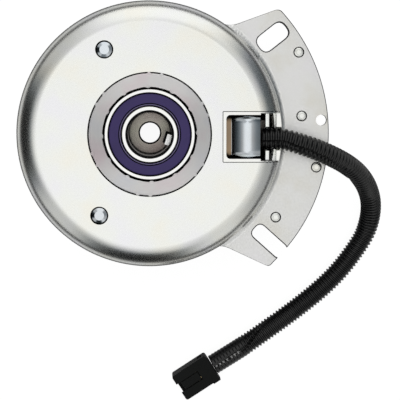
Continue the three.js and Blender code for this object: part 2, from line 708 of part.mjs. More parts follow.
const field = assembly();
add(field, "field_shell", fieldShell(), FINISH.zinc);
add(field, "field_hub_ring", hubRing(), FINISH.turnedSteel);
add(field, "field_bearing_outer", outerRing(HIGH_BEARING_Z), FINISH.bearingSteel);
add(field, "field_bearing_seal_top", bearingSeal(TOP_Z - 1.4), FINISH.seal);
add(field, "field_bearing_seal_bottom", bearingSeal(HIGH_BEARING_Z + 0.6), FINISH.seal);
add(field, "coil_bobbin", bobbin(), FINISH.bobbin);
add(field, "coil_winding", winding(), FINISH.copper);
COIL_RIVETS.forEach((at, i) => {
  add(field, `coil_rivet_${i + 1}`, toPolar(coilRivet(), at), FINISH.brightSteel);
});
add(field, "lead_cover", leadCover(), FINISH.brightSteel);
add(field, "lead_retainer", leadRetainer(), FINISH.zinc);
[-1, 1].forEach((side, i) => {
  const wire = disc(COIL_LEAD.radius, ...COIL_LEAD.x, 10).rotateY(Math.PI / 2);
  const y = LOOM_EXIT.y + side * COIL_LEAD.spacing;
  add(field, `coil_lead_${i + 1}`, wire.translate(0, y, COIL_LEAD.z), FINISH.plug);
});
FLANGE_RIVETS.forEach((at, i) => {
  add(field, `flange_rivet_${i + 1}`, toPolar(flangeRivet(), at), FINISH.zinc);
});
add(field, "brake_bracket", brakeBracket(), FINISH.zinc);
add(field, "brake_lining", brakeLining(), FINISH.lining);

const rotor = assembly();
add(rotor, "rotor_hub", rotorHub(), FINISH.ironGrey);
add(rotor, "rotor_disc", rotorDisc(), FINISH.ironGrey);
add(rotor, "field_bearing_inner", innerRing(HIGH_BEARING_Z), FINISH.bearingSteel);
add(rotor, "bearing_spacer", ring(CLEAR_SHAFT_R, SPACER_R, SPACER_Z, SPACER_TOP, 24), FINISH.ironGrey);
add(rotor, "pulley_bearing_inner", innerRing(LOW_BEARING_Z), FINISH.bearingSteel);
const washer = ring(WASHER_R.bolt, WASHER_R.outer, WASHER_BOTTOM, WASHER_TOP, 30);
add(rotor, "end_washer", washer, FINISH.ironGrey);

const balls = assembly();
add(balls, "field_bearing_cage", cageRing(HIGH_BEARING_Z), FINISH.springSteel);
ballPlaces().forEach((degrees, i) => {
  add(balls, `field_ball_${i + 1}`, ball(HIGH_BEARING_Z, degrees), FINISH.bearingSteel);
});

const pulley = assembly();
add(pulley, "pulley_lower_half", lowerHalf(), FINISH.ironGrey);
add(pulley, "pulley_upper_half", upperHalf(), FINISH.ironGrey);
add(pulley, "pulley_bearing_outer", outerRing(LOW_BEARING_Z), FINISH.bearingSteel);
add(pulley, "pulley_bearing_seal_top", bearingSeal(LOW_BEARING_Z + BEARING.width - 1.4), FINISH.seal);
add(pulley, "pulley_bearing_seal_bottom", bearingSeal(LOW_BEARING_Z + 0.6), FINISH.seal);
add(pulley, "pulley_bearing_cage", filledCage(LOW_BEARING_Z), FINISH.springSteel);
add(pulley, "snap_ring", snapRing(), FINISH.springSteel);

const armature = assembly();
add(armature, "armature_plate", armaturePlate(), FINISH.ironGrey);
for (let i = 0; i < DRIVE_COUNT; i += 1) {
  const turn = radians(drivePlace(i)[1]);
  add(pulley, `leaf_spring_${i + 1}`, leafSpring(), FINISH.springSteel).rotation.z = turn;
  add(pulley, `pulley_rivet_${i + 1}`, toPolar(pulleyRivet(), drivePlace(i)), FINISH.brightSteel);
  const rivet = toPolar(armatureRivet(), drivePlace(i, DRIVE.step));
  add(armature, `armature_rivet_${i + 1}`, rivet, FINISH.brightSteel);
}

const lead = assembly();
add(lead, "loom", loom(), FINISH.loom);
const plug = new THREE.Group();
plug.position.set(...PLUG_PLACE.at, 0);
plug.rotation.z = radians(PLUG_PLACE.heading);
lead.add(plug);
add(plug, "connector_housing", plugHousing(), FINISH.plug);
add(plug, "connector_lock", plugLock(), FINISH.lock);
[-1, 1].forEach((side, i) => {
  add(plug, `terminal_${i + 1}`, terminal(side), FINISH.terminal);
});

export default clutch;
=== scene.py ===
"""Looks of an electromagnetic clutch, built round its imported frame.

Every piece is worked out in millimetres in the frame of the CAD model: +Z runs along the shaft towards the
engine, and the origin lies on the shaft axis in the plane that the clutch stands on. Meshes are written in
metres. Each sub-assembly is a class: its sizes are fields, and its build method makes and dresses its pieces.
"""
from __future__ import annotations

import json
import logging
import math
from dataclasses import dataclass
from enum import Enum
from typing import Callable, Sequence

import bmesh
import bpy
import numpy as np
from mathutils import Matrix, Vector

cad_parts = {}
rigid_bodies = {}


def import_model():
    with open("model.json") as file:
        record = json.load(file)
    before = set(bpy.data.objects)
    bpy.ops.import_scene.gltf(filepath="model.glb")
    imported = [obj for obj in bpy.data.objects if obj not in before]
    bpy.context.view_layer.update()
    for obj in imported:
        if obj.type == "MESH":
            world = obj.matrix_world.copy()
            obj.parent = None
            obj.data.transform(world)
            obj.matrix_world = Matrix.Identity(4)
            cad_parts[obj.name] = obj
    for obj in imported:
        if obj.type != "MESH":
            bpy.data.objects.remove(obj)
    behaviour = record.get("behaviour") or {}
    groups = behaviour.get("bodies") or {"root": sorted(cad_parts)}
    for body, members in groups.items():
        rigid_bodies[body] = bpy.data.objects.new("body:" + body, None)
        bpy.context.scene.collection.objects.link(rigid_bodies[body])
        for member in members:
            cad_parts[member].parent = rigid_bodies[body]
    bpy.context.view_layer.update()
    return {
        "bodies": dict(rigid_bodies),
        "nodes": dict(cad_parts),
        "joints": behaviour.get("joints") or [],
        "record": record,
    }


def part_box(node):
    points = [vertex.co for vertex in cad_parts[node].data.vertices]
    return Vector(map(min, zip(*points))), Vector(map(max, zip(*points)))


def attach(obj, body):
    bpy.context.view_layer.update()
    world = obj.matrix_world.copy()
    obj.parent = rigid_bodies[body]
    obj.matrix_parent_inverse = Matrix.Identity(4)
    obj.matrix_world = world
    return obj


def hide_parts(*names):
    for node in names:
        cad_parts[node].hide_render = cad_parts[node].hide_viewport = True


LOG = logging.getLogger("clutch")
MM = 0.001
Outline = Sequence[tuple[float, ...]]
Colour = tuple[float, float, float]
Pair = tuple[float, float]
Triple = tuple[float, float, float]
SHARP, ROUND_SHARP, BEVEL_FROM = 38.0, 60.0, 30.0  # degrees between two faces
MERGE, SPECK = 2e-6, 1e-6  # metres
SLOW_DETAIL, FINE_DETAIL = 3.0, 2.0  # octaves of noise
QUARTER_TURN = 0.25


# ---- Shapes ------------------------------------------------------------------------------------


def polar(radius: float, degrees: float) -> Pair:
    """Return the point at a radius and an angle about the shaft."""
    return radius * math.cos(math.radians(degrees)), radius * math.sin(math.radians(degrees))


def around(radius: np.ndarray, height: np.ndarray, angle: np.ndarray) -> np.ndarray:
    """Return points from their distance to the shaft, their height and their angle in radians."""
    radius, height, angle = np.broadcast_arrays(radius, height, angle)
    return np.stack([radius * np.cos(angle), radius * np.sin(angle), height], axis=-1)


def ringed(rows: Sequence[tuple[np.ndarray | float, np.ndarray | float]], degrees: np.ndarray) -> np.ndarray:
    """Carry rows of (radius, height) round the shaft.

    Args:
        rows: Rings in order; each radius and height is one number, or one for each angle.
        degrees: The angles.

    Returns:
        Points by row and angle.
    """
    radius, height = (np.stack([np.broadcast_to(row[k], degrees.shape) for row in rows]) for k in (0, 1))
    return around(radius, height, np.radians(degrees))


def grid_quads(rows: int, cols: int, wrap_rows: bool, wrap_cols: bool) -> np.ndarray:
    """Index the quads of a grid of points.

    Args:
        rows: Number of rows of points.
        cols: Number of points in a row.
        wrap_rows: Whether the last row joins the first.
        wrap_cols: Whether the last point of a row joins its first.

    Returns:
        An array of four indices a quad.
    """
    row = np.arange(rows if wrap_rows else rows - 1)
    col = np.arange(cols if wrap_cols else cols - 1)
    r, c = np.meshgrid(row, col, indexing="ij")
    r_next, c_next = (r + 1) % rows, (c + 1) % cols
    corners = (r * cols + c, r * cols + c_next, r_next * cols + c_next, r_next * cols + c)
    return np.stack(corners, axis=-1).reshape(-1, 4)


def new_object(name: str, points: np.ndarray, faces: Sequence[Sequence[int]]) -> bpy.types.Object:
    """Make a mesh object from points in millimetres.

    Args:
        name: The object's name.
        points: Points, three numbers each.
        faces: Point indices of each face.

    Returns:
        The linked object, at the origin.
    """
    mesh = bpy.data.meshes.new(name)
    mesh.from_pydata((np.asarray(points, float).reshape(-1, 3) * MM).tolist(), [], [list(f) for f in faces])
    obj = bpy.data.objects.new(name, mesh)
    bpy.context.scene.collection.objects.link(obj)
    return obj


def face_outwards(obj: bpy.types.Object) -> bpy.types.Object:
    """Turn a closed object's faces outwards."""
    work = bmesh.new()
    work.from_mesh(obj.data)
    bmesh.ops.recalc_face_normals(work, faces=work.faces)
    work.to_mesh(obj.data)
    work.free()
    return obj


def tidy(obj: bpy.types.Object, sharp_degrees: float = SHARP) -> bpy.types.Object:
    """Merge doubles, face the mesh outwards and smooth it between its sharp edges.

    Args:
        obj: The object to tidy.
        sharp_degrees: Edges with a larger angle stay sharp.

    Returns:
        The same object.
    """
    work = bmesh.new()
    work.from_mesh(obj.data)
    bmesh.ops.remove_doubles(work, verts=work.verts, dist=MERGE)
    bmesh.ops.dissolve_degenerate(work, edges=work.edges, dist=SPECK)
    bmesh.ops.recalc_face_normals(work, faces=work.faces)
    work.to_mesh(obj.data)
    work.free()
    obj.data.shade_smooth()
    obj.data.set_sharp_from_angle(angle=math.radians(sharp_degrees))
    weigh = obj.modifiers.new("weighted normals", "WEIGHTED_NORMAL")
    weigh.keep_sharp = True
    return obj


def rounded(corners: Outline, steps: int = 4) -> np.ndarray:
    """Round the corners of a closed outline.

    Each corner is (a, b, radius). A corner becomes a quadratic curve that starts and ends where a circle of
    its radius would touch the two sides; a radius of 0 keeps it sharp.

    Args:
        corners: The corners in order.
        steps: Number of spans in each rounded corner.

    Returns:
        The outline's points, two numbers each.
    """
    points = np.array([c[:2] for c in corners], float)
    radii = np.array([c[2] if len(c) > 2 else 0.0 for c in corners], float)
    most = 0.48
    out = []
    for i, here in enumerate(points):
        before, after = points[i - 1] - here, points[(i + 1) % len(points)] - here
        size_before, size_after = np.linalg.norm(before), np.linalg.norm(after)
        if radii[i] == 0:
            out.append(here[None, :])
            continue
        cosine = np.clip(before @ after / (size_before * size_after), -1, 1)
        reach = radii[i] / max(math.tan(math.acos(cosine) / 2), 1e-6)
        reach = min(reach, most * size_before, most * size_after)
        start, end = here + before / size_before * reach, here + after / size_after * reach
        out.append(bent(start, here, end, steps + 1))
    return np.concatenate(out)


def bent(start: Sequence[float], corner: Sequence[float], end: Sequence[float], count: int) -> np.ndarray:
    """Return points of the quadratic curve from start to end whose two ends point at the corner."""
    t = np.linspace(0, 1, count)[:, None]
    return (1 - t) ** 2 * np.array(start) + 2 * t * (1 - t) * np.array(corner) + t**2 * np.array(end)


def straight(start: Pair, end: Pair, count: int = 30) -> np.ndarray:
    """Return evenly spaced points of a line."""
    t = np.linspace(0, 1, count)[:, None]
    return (1 - t) * np.array(start) + t * np.array(end)


def lathe(name: str, corners: Outline, segments: int = 144, steps: int = 4, at: Pair = (0.0, 0.0),
          centre_z: float = 0.0) -> bpy.types.Object:
    """Revolve a closed outline of (radius, height, corner radius) about a line parallel to the shaft.

    The surface is radius times the unit circle, carried along the rounded outline. Where the outline meets
    the axis its points fall together and are merged.

    Args:
        name: The object's name.
        corners: The outline's corners.
        segments: Number of steps round the axis.
        steps: Number of spans in each rounded corner.
        at: Where the axis stands.
        centre_z: Height added to the outline.

    Returns:
        The tidied object.
    """
    outline = rounded(corners, steps)
    turn = np.linspace(0, 2 * np.pi, segments, endpoint=False)
    points = around(outline[:, 0, None], outline[:, 1, None] + centre_z, turn) + np.array([*at, 0.0])
    return tidy(new_object(name, points, grid_quads(len(outline), segments, True, True)))


def ring_outline(inner: float, outer: float, low: float, top: float, corner: float) -> Outline:
    """Return the four corners of a plain ring's section, all rounded alike."""
    return [(inner, low, corner), (outer, low, corner), (outer, top, corner), (inner, top, corner)]


def block(name: str, near: np.ndarray, far: np.ndarray) -> bpy.types.Object:
    """Join two outlines that have the same number of points by straight sides, and close both ends."""
    count = len(near)
    here = np.arange(count)
    after = (here + 1) % count
    side = np.column_stack([here, after, after + count, here + count]).tolist()
    ends = [here[::-1].tolist(), (here + count).tolist()]
    return face_outwards(new_object(name, np.concatenate([near, far]), side + ends))


def at_height(outline: np.ndarray, height: float) -> np.ndarray:
    """Lift plan points to a height."""
    return np.column_stack([outline, np.full(len(outline), height)])


def prism(name: str, outline: np.ndarray, bottom: float, top: float) -> bpy.types.Object:
    """Make a straight prism on a plan outline, from one height to another."""
    return block(name, at_height(outline, bottom), at_height(outline, top))


def capped(name: str, points: np.ndarray) -> bpy.types.Object:
    """Make a skin over closed sections, given as rows of points, and close its two ends."""
    rows, cols = points.shape[:2]
    last = (rows - 1) * cols
    caps = [list(range(cols)), [last + k for k in reversed(range(cols))]]
    return new_object(name, points, grid_quads(rows, cols, False, True).tolist() + caps)


def circle(radius: float, centre: Pair = (0.0, 0.0), count: int = 48) -> np.ndarray:
    """Return the points of a circle in plan."""
    turn = np.linspace(0, 2 * np.pi, count, endpoint=False)
    return np.column_stack([centre[0] + radius * np.cos(turn), centre[1] + radius * np.sin(turn)])


def rectangle(x: Pair, y: Pair, corner: float = 0.0) -> np.ndarray:
    """Return the points of a rectangle in plan, its corners rounded."""
    corners = [(x[0], y[0], corner), (x[1], y[0], corner), (x[1], y[1], corner), (x[0], y[1], corner)]
    return rounded(corners, 6)


def turned_by(points: np.ndarray, degrees: float) -> np.ndarray:
    """Turn plan points about the origin."""
    c, s = polar(1.0, degrees)
    return points @ np.array([[c, s], [-s, c]])


def turned_to(points: np.ndarray, place: Pair) -> np.ndarray:
    """Move plan points out along +X by a radius, then turn them about the shaft by an angle."""
    return turned_by(points + np.array([place[0], 0.0]), place[1])


def sector(inner: float, outer: float, start: float, end: float, count: int) -> np.ndarray:
    """Return the plan of a plate between two arcs about the shaft."""
    turn = np.radians(np.linspace(start, end, count))
    arc = np.column_stack([np.cos(turn), np.sin(turn)])
    return np.concatenate([outer * arc, inner * arc[::-1]])


def carve(obj: bpy.types.Object, tools: Sequence[bpy.types.Object],
          operation: str = "DIFFERENCE") -> bpy.types.Object:
    """Cut tools out of an object, or join them to it, and remove the tools.

    Args:
        obj: The object to work on.
        tools: Closed objects.
        operation: Name of the boolean operation.

    Returns:
        The same object, holding the result as its mesh.
    """
    obj.modifiers.clear()
    for tool in tools:
        step = obj.modifiers.new("carve", "BOOLEAN")
        step.operation = operation
        step.solver = "EXACT"
        step.object = tool
    bake_modifiers(obj)
    for tool in tools:
        bpy.data.objects.remove(tool)
    return obj


def bake_modifiers(obj: bpy.types.Object) -> bpy.types.Object:
    """Replace an object's mesh by what its modifiers make of it."""
    graph = bpy.context.evaluated_depsgraph_get()
    made = bpy.data.meshes.new_from_object(obj.evaluated_get(graph))
    obj.modifiers.clear()
    obj.data = made
    return obj


def bevelled(obj: bpy.types.Object, width: float) -> bpy.types.Object:
    """Round an object's sharp edges to a width in millimetres, and tidy it."""
    bevel = obj.modifiers.new("edges", "BEVEL")
    bevel.width = width * MM
    bevel.segments = 2
    bevel.limit_method = "ANGLE"
    bevel.angle_limit = math.radians(BEVEL_FROM)
    bake_modifiers(obj)
    return tidy(obj)


def thickened(sheet: bpy.types.Object, thickness: float, offset: int) -> bpy.types.Object:
    """Give an open sheet its thickness in millimetres, to the side that its faces show (1) or behind (-1)."""
    skin = sheet.modifiers.new("sheet", "SOLIDIFY")
    skin.thickness = thickness * MM
    skin.offset = offset
    return bake_modifiers(sheet)


# ---- Finishes ----------------------------------------------------------------------------------


Value = bpy.types.NodeSocket | float | tuple[float, ...]


class Nodes:
    """A node tree, and short ways to add what the finishes and the studio are made of."""

    def __init__(self, tree: bpy.types.NodeTree) -> None:
        """Hold the tree."""
        self.tree = tree

    def add(self, kind: str, **settings: object) -> bpy.types.Node:
        """Add a node, named by the end of its type, and set its settings."""
        node = self.tree.nodes.new(f"ShaderNode{kind}")
        for name, setting in settings.items():
            setattr(node, name, setting)
        return node

    def feed(self, target: bpy.types.NodeSocket, value: Value) -> None:
        """Link an output into a socket, or set the socket to a number or a colour."""
        if isinstance(value, bpy.types.NodeSocket):
            self.tree.links.new(value, target)
        else:
            target.default_value = value

    def combine(self, operation: str, first: Value, second: Value) -> bpy.types.NodeSocket:
        """Combine two numbers."""
        node = self.add("Math", operation=operation)
        self.feed(node.inputs[0], first)
        self.feed(node.inputs[1], second)
        return node.outputs["Value"]

    def vector(self, operation: str, source: Value, other: Triple | None = None) -> bpy.types.Node:
        """Work on a vector, alone or with a fixed one."""
        node = self.add("VectorMath", operation=operation)
        self.feed(node.inputs[0], source)
        if other:
            self.feed(node.inputs[1], other)
        return node

    def span(self, value: Value, start: Pair, end: Pair, smooth: bool = False) -> bpy.types.NodeSocket:
        """Carry a value from one span to another, in a line or by a smooth step."""
        node = self.add("MapRange", interpolation_type="SMOOTHSTEP" if smooth else "LINEAR")
        for name, number in zip(("From Min", "From Max", "To Min", "To Max"), (*start, *end)):
            self.feed(node.inputs[name], number)
        self.feed(node.inputs["Value"], value)
        return node.outputs["Result"]

    def blend(self, share: Value, first: Value, second: Value, kind: str = "FLOAT") -> bpy.types.NodeSocket:
        """Blend two numbers or two colours: the first at a share of 0, the second at 1."""
        node = self.add("Mix", data_type=kind)
        for name, value in zip(("Factor", "A", "B"), (share, first, second)):
            self.feed(node.inputs[name], value)
        return node.outputs["Result"]

    def plan_of(self, place: bpy.types.NodeSocket) -> tuple[bpy.types.NodeSocket, bpy.types.NodeSocket]:
        """Split a vector into its plan, with a height of 0, and its height."""
        parts = self.add("SeparateXYZ")
        self.feed(parts.inputs["Vector"], place)
        plan = self.add("CombineXYZ")
        for name in "XY":
            self.feed(plan.inputs[name], parts.outputs[name])
        return plan.outputs["Vector"], parts.outputs["Z"]


class Grain(Enum):
    """How a finish's fine relief runs."""

    SPECKLED = "speckled"
    TURNED = "turned"
    MOULDED = "moulded"
    WOUND = "wound"


@dataclass(frozen=True)
class Finish:
    """One finish: its colour, gloss and fine relief.

    The stain and the tint are what the colour drifts to where the slow stain is strong or weak. The streak
    draws the gloss out along the turning marks.
    """

    name: str
    colour: Colour
    metallic: float
    roughness: float
    grain: Grain
    grain_mm: float
    relief_mm: float
    stain: Colour
    stain_share: float
    spread: float = 0.08
    tint: Colour | None = None
    specular: float = 0.5
    streak: float = 0.0
    stain_mm: float = 22.0
    stain_stops: Triple = (0.3, 0.5, 0.72)

    def material(self) -> bpy.types.Material:
        """Build the finish's material.

        Returns:
            A material whose colour follows a slow stain, and whose roughness and bump follow the grain.
        """
        material = bpy.data.materials.new(self.name)
        material.use_nodes = True
        nodes = Nodes(material.node_tree)
        shader = nodes.tree.nodes["Principled BSDF"]
        shader.inputs["Metallic"].default_value = self.metallic
        shader.inputs["Specular IOR Level"].default_value = self.specular
        if self.streak:
            shader.inputs["Anisotropic"].default_value = self.streak
            shader.inputs["Anisotropic Rotation"].default_value = QUARTER_TURN
            tangent = nodes.add("Tangent", direction_type="RADIAL", axis="Z")
            nodes.feed(shader.inputs["Tangent"], tangent.outputs["Tangent"])
        place = nodes.add("TexCoord").outputs["Object"]
        stain = self._noise(nodes, place, self.stain_mm, SLOW_DETAIL)
        nodes.feed(shader.inputs["Base Color"], self._stained(nodes, stain))
        grain = self._grain(nodes, place)
        rough = nodes.span(grain, (0.0, 1.0), (self.roughness - self.spread, self.roughness + self.spread))
        nodes.feed(shader.inputs["Roughness"], rough)
        bump = nodes.add("Bump")
        for name, value in (("Strength", 1.0), ("Distance", self.relief_mm * MM), ("Height", grain)):
            nodes.feed(bump.inputs[name], value)
        nodes.feed(shader.inputs["Normal"], bump.outputs["Normal"])
        return material

    def _noise(self, nodes: Nodes, place: bpy.types.NodeSocket, size: float,
               detail: float) -> bpy.types.NodeSocket:
        """Add a noise whose cells have a size in millimetres and return its value."""
        noise = nodes.add("TexNoise")
        for name, value in (("Scale", 1 / (size * MM)), ("Detail", detail), ("Vector", place)):
            nodes.feed(noise.inputs[name], value)
        return noise.outputs["Fac"]

    def _stained(self, nodes: Nodes, value: bpy.types.NodeSocket) -> bpy.types.NodeSocket:
        """Blend the colour towards the stain where the value is high, and the tint where it is low."""
        ramp = nodes.add("ValToRGB")
        stops = ramp.color_ramp.elements
        low, middle, high = self.stain_stops
        stops[0].position, stops[1].position = low, high
        stops.new(middle)
        for stop, colour in zip(stops, (self.tint or self.colour, self.colour, self.stain)):
            stop.color = (*(c + (s - c) * self.stain_share for c, s in zip(self.colour, colour)), 1)
        nodes.feed(ramp.inputs["Fac"], value)
        return ramp.outputs["Color"]

    def _grain(self, nodes: Nodes, place: bpy.types.NodeSocket) -> bpy.types.NodeSocket:
        """Add the fine relief: noise over the place, over the distance from the shaft, or over the height."""
        if self.grain in (Grain.SPECKLED, Grain.MOULDED):
            detail = FINE_DETAIL if self.grain is Grain.SPECKLED else 0.0
            return self._noise(nodes, place, self.grain_mm, detail)
        plan, height = nodes.plan_of(place)
        bands = nodes.add("CombineXYZ")
        across = nodes.vector("LENGTH", plan).outputs["Value"] if self.grain is Grain.TURNED else height
        nodes.feed(bands.inputs["X"], across)
        nodes.feed(bands.inputs["Y"], height)
        return self._noise(nodes, bands.outputs["Vector"], self.grain_mm, FINE_DETAIL)


ZINC = Finish("zinc_plate", (0.83, 0.84, 0.815), 1.0, 0.27, Grain.SPECKLED, 0.9, 0.016,
              (0.85, 0.825, 0.745), 0.8, 0.06, (0.82, 0.815, 0.86))
# Partly painted shade: a duller zinc for the flange, whose darker colour also stands in for the cup's shade
# on it.
DULL_ZINC_SHADED = Finish("dull_zinc_with_shade", (0.76, 0.76, 0.75), 1.0, 0.38, Grain.SPECKLED, 1.1, 0.05,
                   (0.70, 0.68, 0.62), 0.8, 0.10, (0.78, 0.77, 0.79))
FORMED_ZINC = Finish("formed_zinc", (0.84, 0.84, 0.83), 1.0, 0.34, Grain.SPECKLED, 1.3, 0.20,
                     (0.60, 0.60, 0.58), 0.9, 0.14, (0.88, 0.89, 0.90))
# Painted highlight: a lighter copy of the zinc for the window's frame, standing in for the light on its
# bevel.
FRAME_ZINC_HIGHLIT = Finish("frame_zinc_highlight", (0.90, 0.90, 0.88), 1.0, 0.30, Grain.SPECKLED, 0.7, 0.01,
                    (0.88, 0.87, 0.82), 0.6)
TURNED_STEEL = Finish("turned_steel", (0.86, 0.85, 0.85), 1.0, 0.52, Grain.TURNED, 0.45, 0.012,
                      (0.84, 0.72, 0.76), 0.8, 0.08, (0.80, 0.81, 0.86), streak=0.92)
BEARING_STEEL = Finish("bearing_steel", (0.86, 0.86, 0.85), 1.0, 0.2, Grain.TURNED, 0.35, 0.006,
                       (0.80, 0.80, 0.82), 0.5, 0.06)
BRIGHT_STEEL = Finish("bright_steel", (0.66, 0.70, 0.74), 1.0, 0.13, Grain.SPECKLED, 0.9, 0.004,
                      (0.60, 0.61, 0.62), 0.6, 0.03, (0.56, 0.62, 0.70))
MACHINED_IRON = Finish("machined_iron", (0.23, 0.215, 0.20), 1.0, 0.42, Grain.TURNED, 0.6, 0.02,
                       (0.19, 0.16, 0.15), 0.7, 0.1)
PULLEY_STEEL = Finish("pulley_steel", (0.50, 0.50, 0.51), 1.0, 0.36, Grain.TURNED, 0.7, 0.02,
                      (0.42, 0.40, 0.38), 0.6, 0.1)
SPRING_STEEL = Finish("spring_steel", (0.26, 0.28, 0.33), 1.0, 0.32, Grain.SPECKLED, 0.8, 0.006,
                      (0.32, 0.26, 0.22), 0.6)
SEAL_RUBBER = Finish("seal_rubber", (0.064, 0.045, 0.165), 0.0, 0.55, Grain.MOULDED, 0.5, 0.012,
                     (0.050, 0.038, 0.125), 0.7, specular=0.25)
# Painted highlight: a lighter rubber colour for the seal's raised lip, standing in for the light on it.
SEAL_LIP_HIGHLIT = Finish("seal_lip_highlight", (0.20, 0.17, 0.32), 0.0, 0.5, Grain.MOULDED, 0.5, 0.01, (0.16, 0.14, 0.26), 0.5)
BOBBIN_PLASTIC = Finish("bobbin_plastic", (0.008, 0.009, 0.010), 0.0, 0.5, Grain.MOULDED, 0.8, 0.02,
                        (0.015, 0.015, 0.015), 0.5, specular=0.2)
COPPER_WIRE = Finish("copper_wire", (0.60, 0.26, 0.12), 1.0, 0.3, Grain.WOUND, 0.9, 0.2,
                     (0.45, 0.18, 0.08), 0.6)
LEAD_INSULATION = Finish("lead_insulation", (0.008, 0.008, 0.008), 0.0, 0.45, Grain.MOULDED, 0.6, 0.01,
                         (0.012, 0.012, 0.012), 0.5, specular=0.2)
FRICTION_LINING = Finish("brake_lining", (0.16, 0.115, 0.085), 0.0, 0.85, Grain.SPECKLED, 0.8, 0.12,
                         (0.30, 0.24, 0.18), 0.7)
LOOM_PLASTIC = Finish("loom_plastic", (0.0035, 0.0035, 0.004), 0.0, 0.30, Grain.MOULDED, 0.7, 0.010,
                      (0.006, 0.006, 0.007), 0.5, specular=0.5)
PLUG_PLASTIC = Finish("plug_plastic", (0.0070, 0.0078, 0.0074), 0.0, 0.6, Grain.MOULDED, 0.35, 0.02,
                      (0.009, 0.010, 0.010), 0.5, specular=0.12)
TERMINAL_BRASS = Finish("terminal_brass", (0.72, 0.58, 0.32), 1.0, 0.3, Grain.SPECKLED, 0.5, 0.005,
                        (0.66, 0.62, 0.52), 0.6)
# Painted shade: a near-black finish for grooves, gaps, chamfers, bore walls and the walls of recesses, where
# shade falls.
SHADE_BLACK = Finish("painted_shade_black", (0.006, 0.006, 0.006), 0.0, 0.7, Grain.TURNED, 0.5, 0.02,
                     (0.012, 0.011, 0.010), 0.5, specular=0.1)
CUT_FACE = Finish("cut_face", (0.80, 0.80, 0.80), 1.0, 0.25, Grain.SPECKLED, 0.5, 0.02, (0.8, 0.8, 0.8), 0.5)
# Painted shade: a dark iron for the end washer's face seen down the bore, standing in for the shade at its
# bottom.
BORE_SHADE_IRON = Finish("bore_shade_iron", (0.36, 0.33, 0.30), 1.0, 0.24, Grain.TURNED, 0.6, 0.012,
                    (0.27, 0.21, 0.205), 0.9, 0.04, (0.34, 0.34, 0.28))
# Painted shade: near-black for the flange's sheared edge faces and for the ledge round its slot and notch.
EDGE_SHADE = Finish("edge_shade", (0.045, 0.045, 0.048), 0.5, 0.6, Grain.SPECKLED, 0.4, 0.02,
                      (0.03, 0.03, 0.03), 0.6)
# Painted reflection: a brown metal for the lead cover's flat foot, standing in for a brown reflection there.
BROWN_REFLECTION = Finish("brown_reflection", (0.32, 0.23, 0.15), 1.0, 0.35, Grain.SPECKLED, 0.6, 0.01,
                 (0.24, 0.19, 0.14), 0.6)
# Painted highlight: a light grey for small spots in the conduit's slit.
SLIT_HIGHLIGHT = Finish("slit_highlight", (0.45, 0.45, 0.45), 0.0, 0.5, Grain.MOULDED, 0.5, 0.01,
                   (0.5, 0.5, 0.5), 0.5)
FINISHES = (
    ZINC, TURNED_STEEL, BEARING_STEEL, BRIGHT_STEEL, MACHINED_IRON, PULLEY_STEEL, SPRING_STEEL, SEAL_RUBBER,
    BOBBIN_PLASTIC, COPPER_WIRE, LEAD_INSULATION, FRICTION_LINING, LOOM_PLASTIC, PLUG_PLASTIC, TERMINAL_BRASS,
    SHADE_BLACK, CUT_FACE, BORE_SHADE_IRON, SEAL_LIP_HIGHLIT, EDGE_SHADE, BROWN_REFLECTION, SLIT_HIGHLIGHT, DULL_ZINC_SHADED, FORMED_ZINC,
    FRAME_ZINC_HIGHLIT)


@dataclass
class Faces:
    """The middles of a piece's faces in millimetres, and how far each leans up, as a cosine.

    Faces that lean more than level lie flat, those within upright of 0 stand, and those below under look
    down.
    """

    middle: np.ndarray
    lean: np.ndarray
    level: float = 0.9
    upright: float = 0.35
    under: float = -0.5

    @property
    def x(self) -> np.ndarray:
        """Return how far along +X each face lies."""
        return self.middle[:, 0]

    @property
    def y(self) -> np.ndarray:
        """Return how far along +Y each face lies."""
        return self.middle[:, 1]

    @property
    def z(self) -> np.ndarray:
        """Return the height of each face."""
        return self.middle[:, 2]

    @property
    def reach(self) -> np.ndarray:
        """Return the distance of each face from the shaft axis."""
        return np.hypot(self.x, self.y)


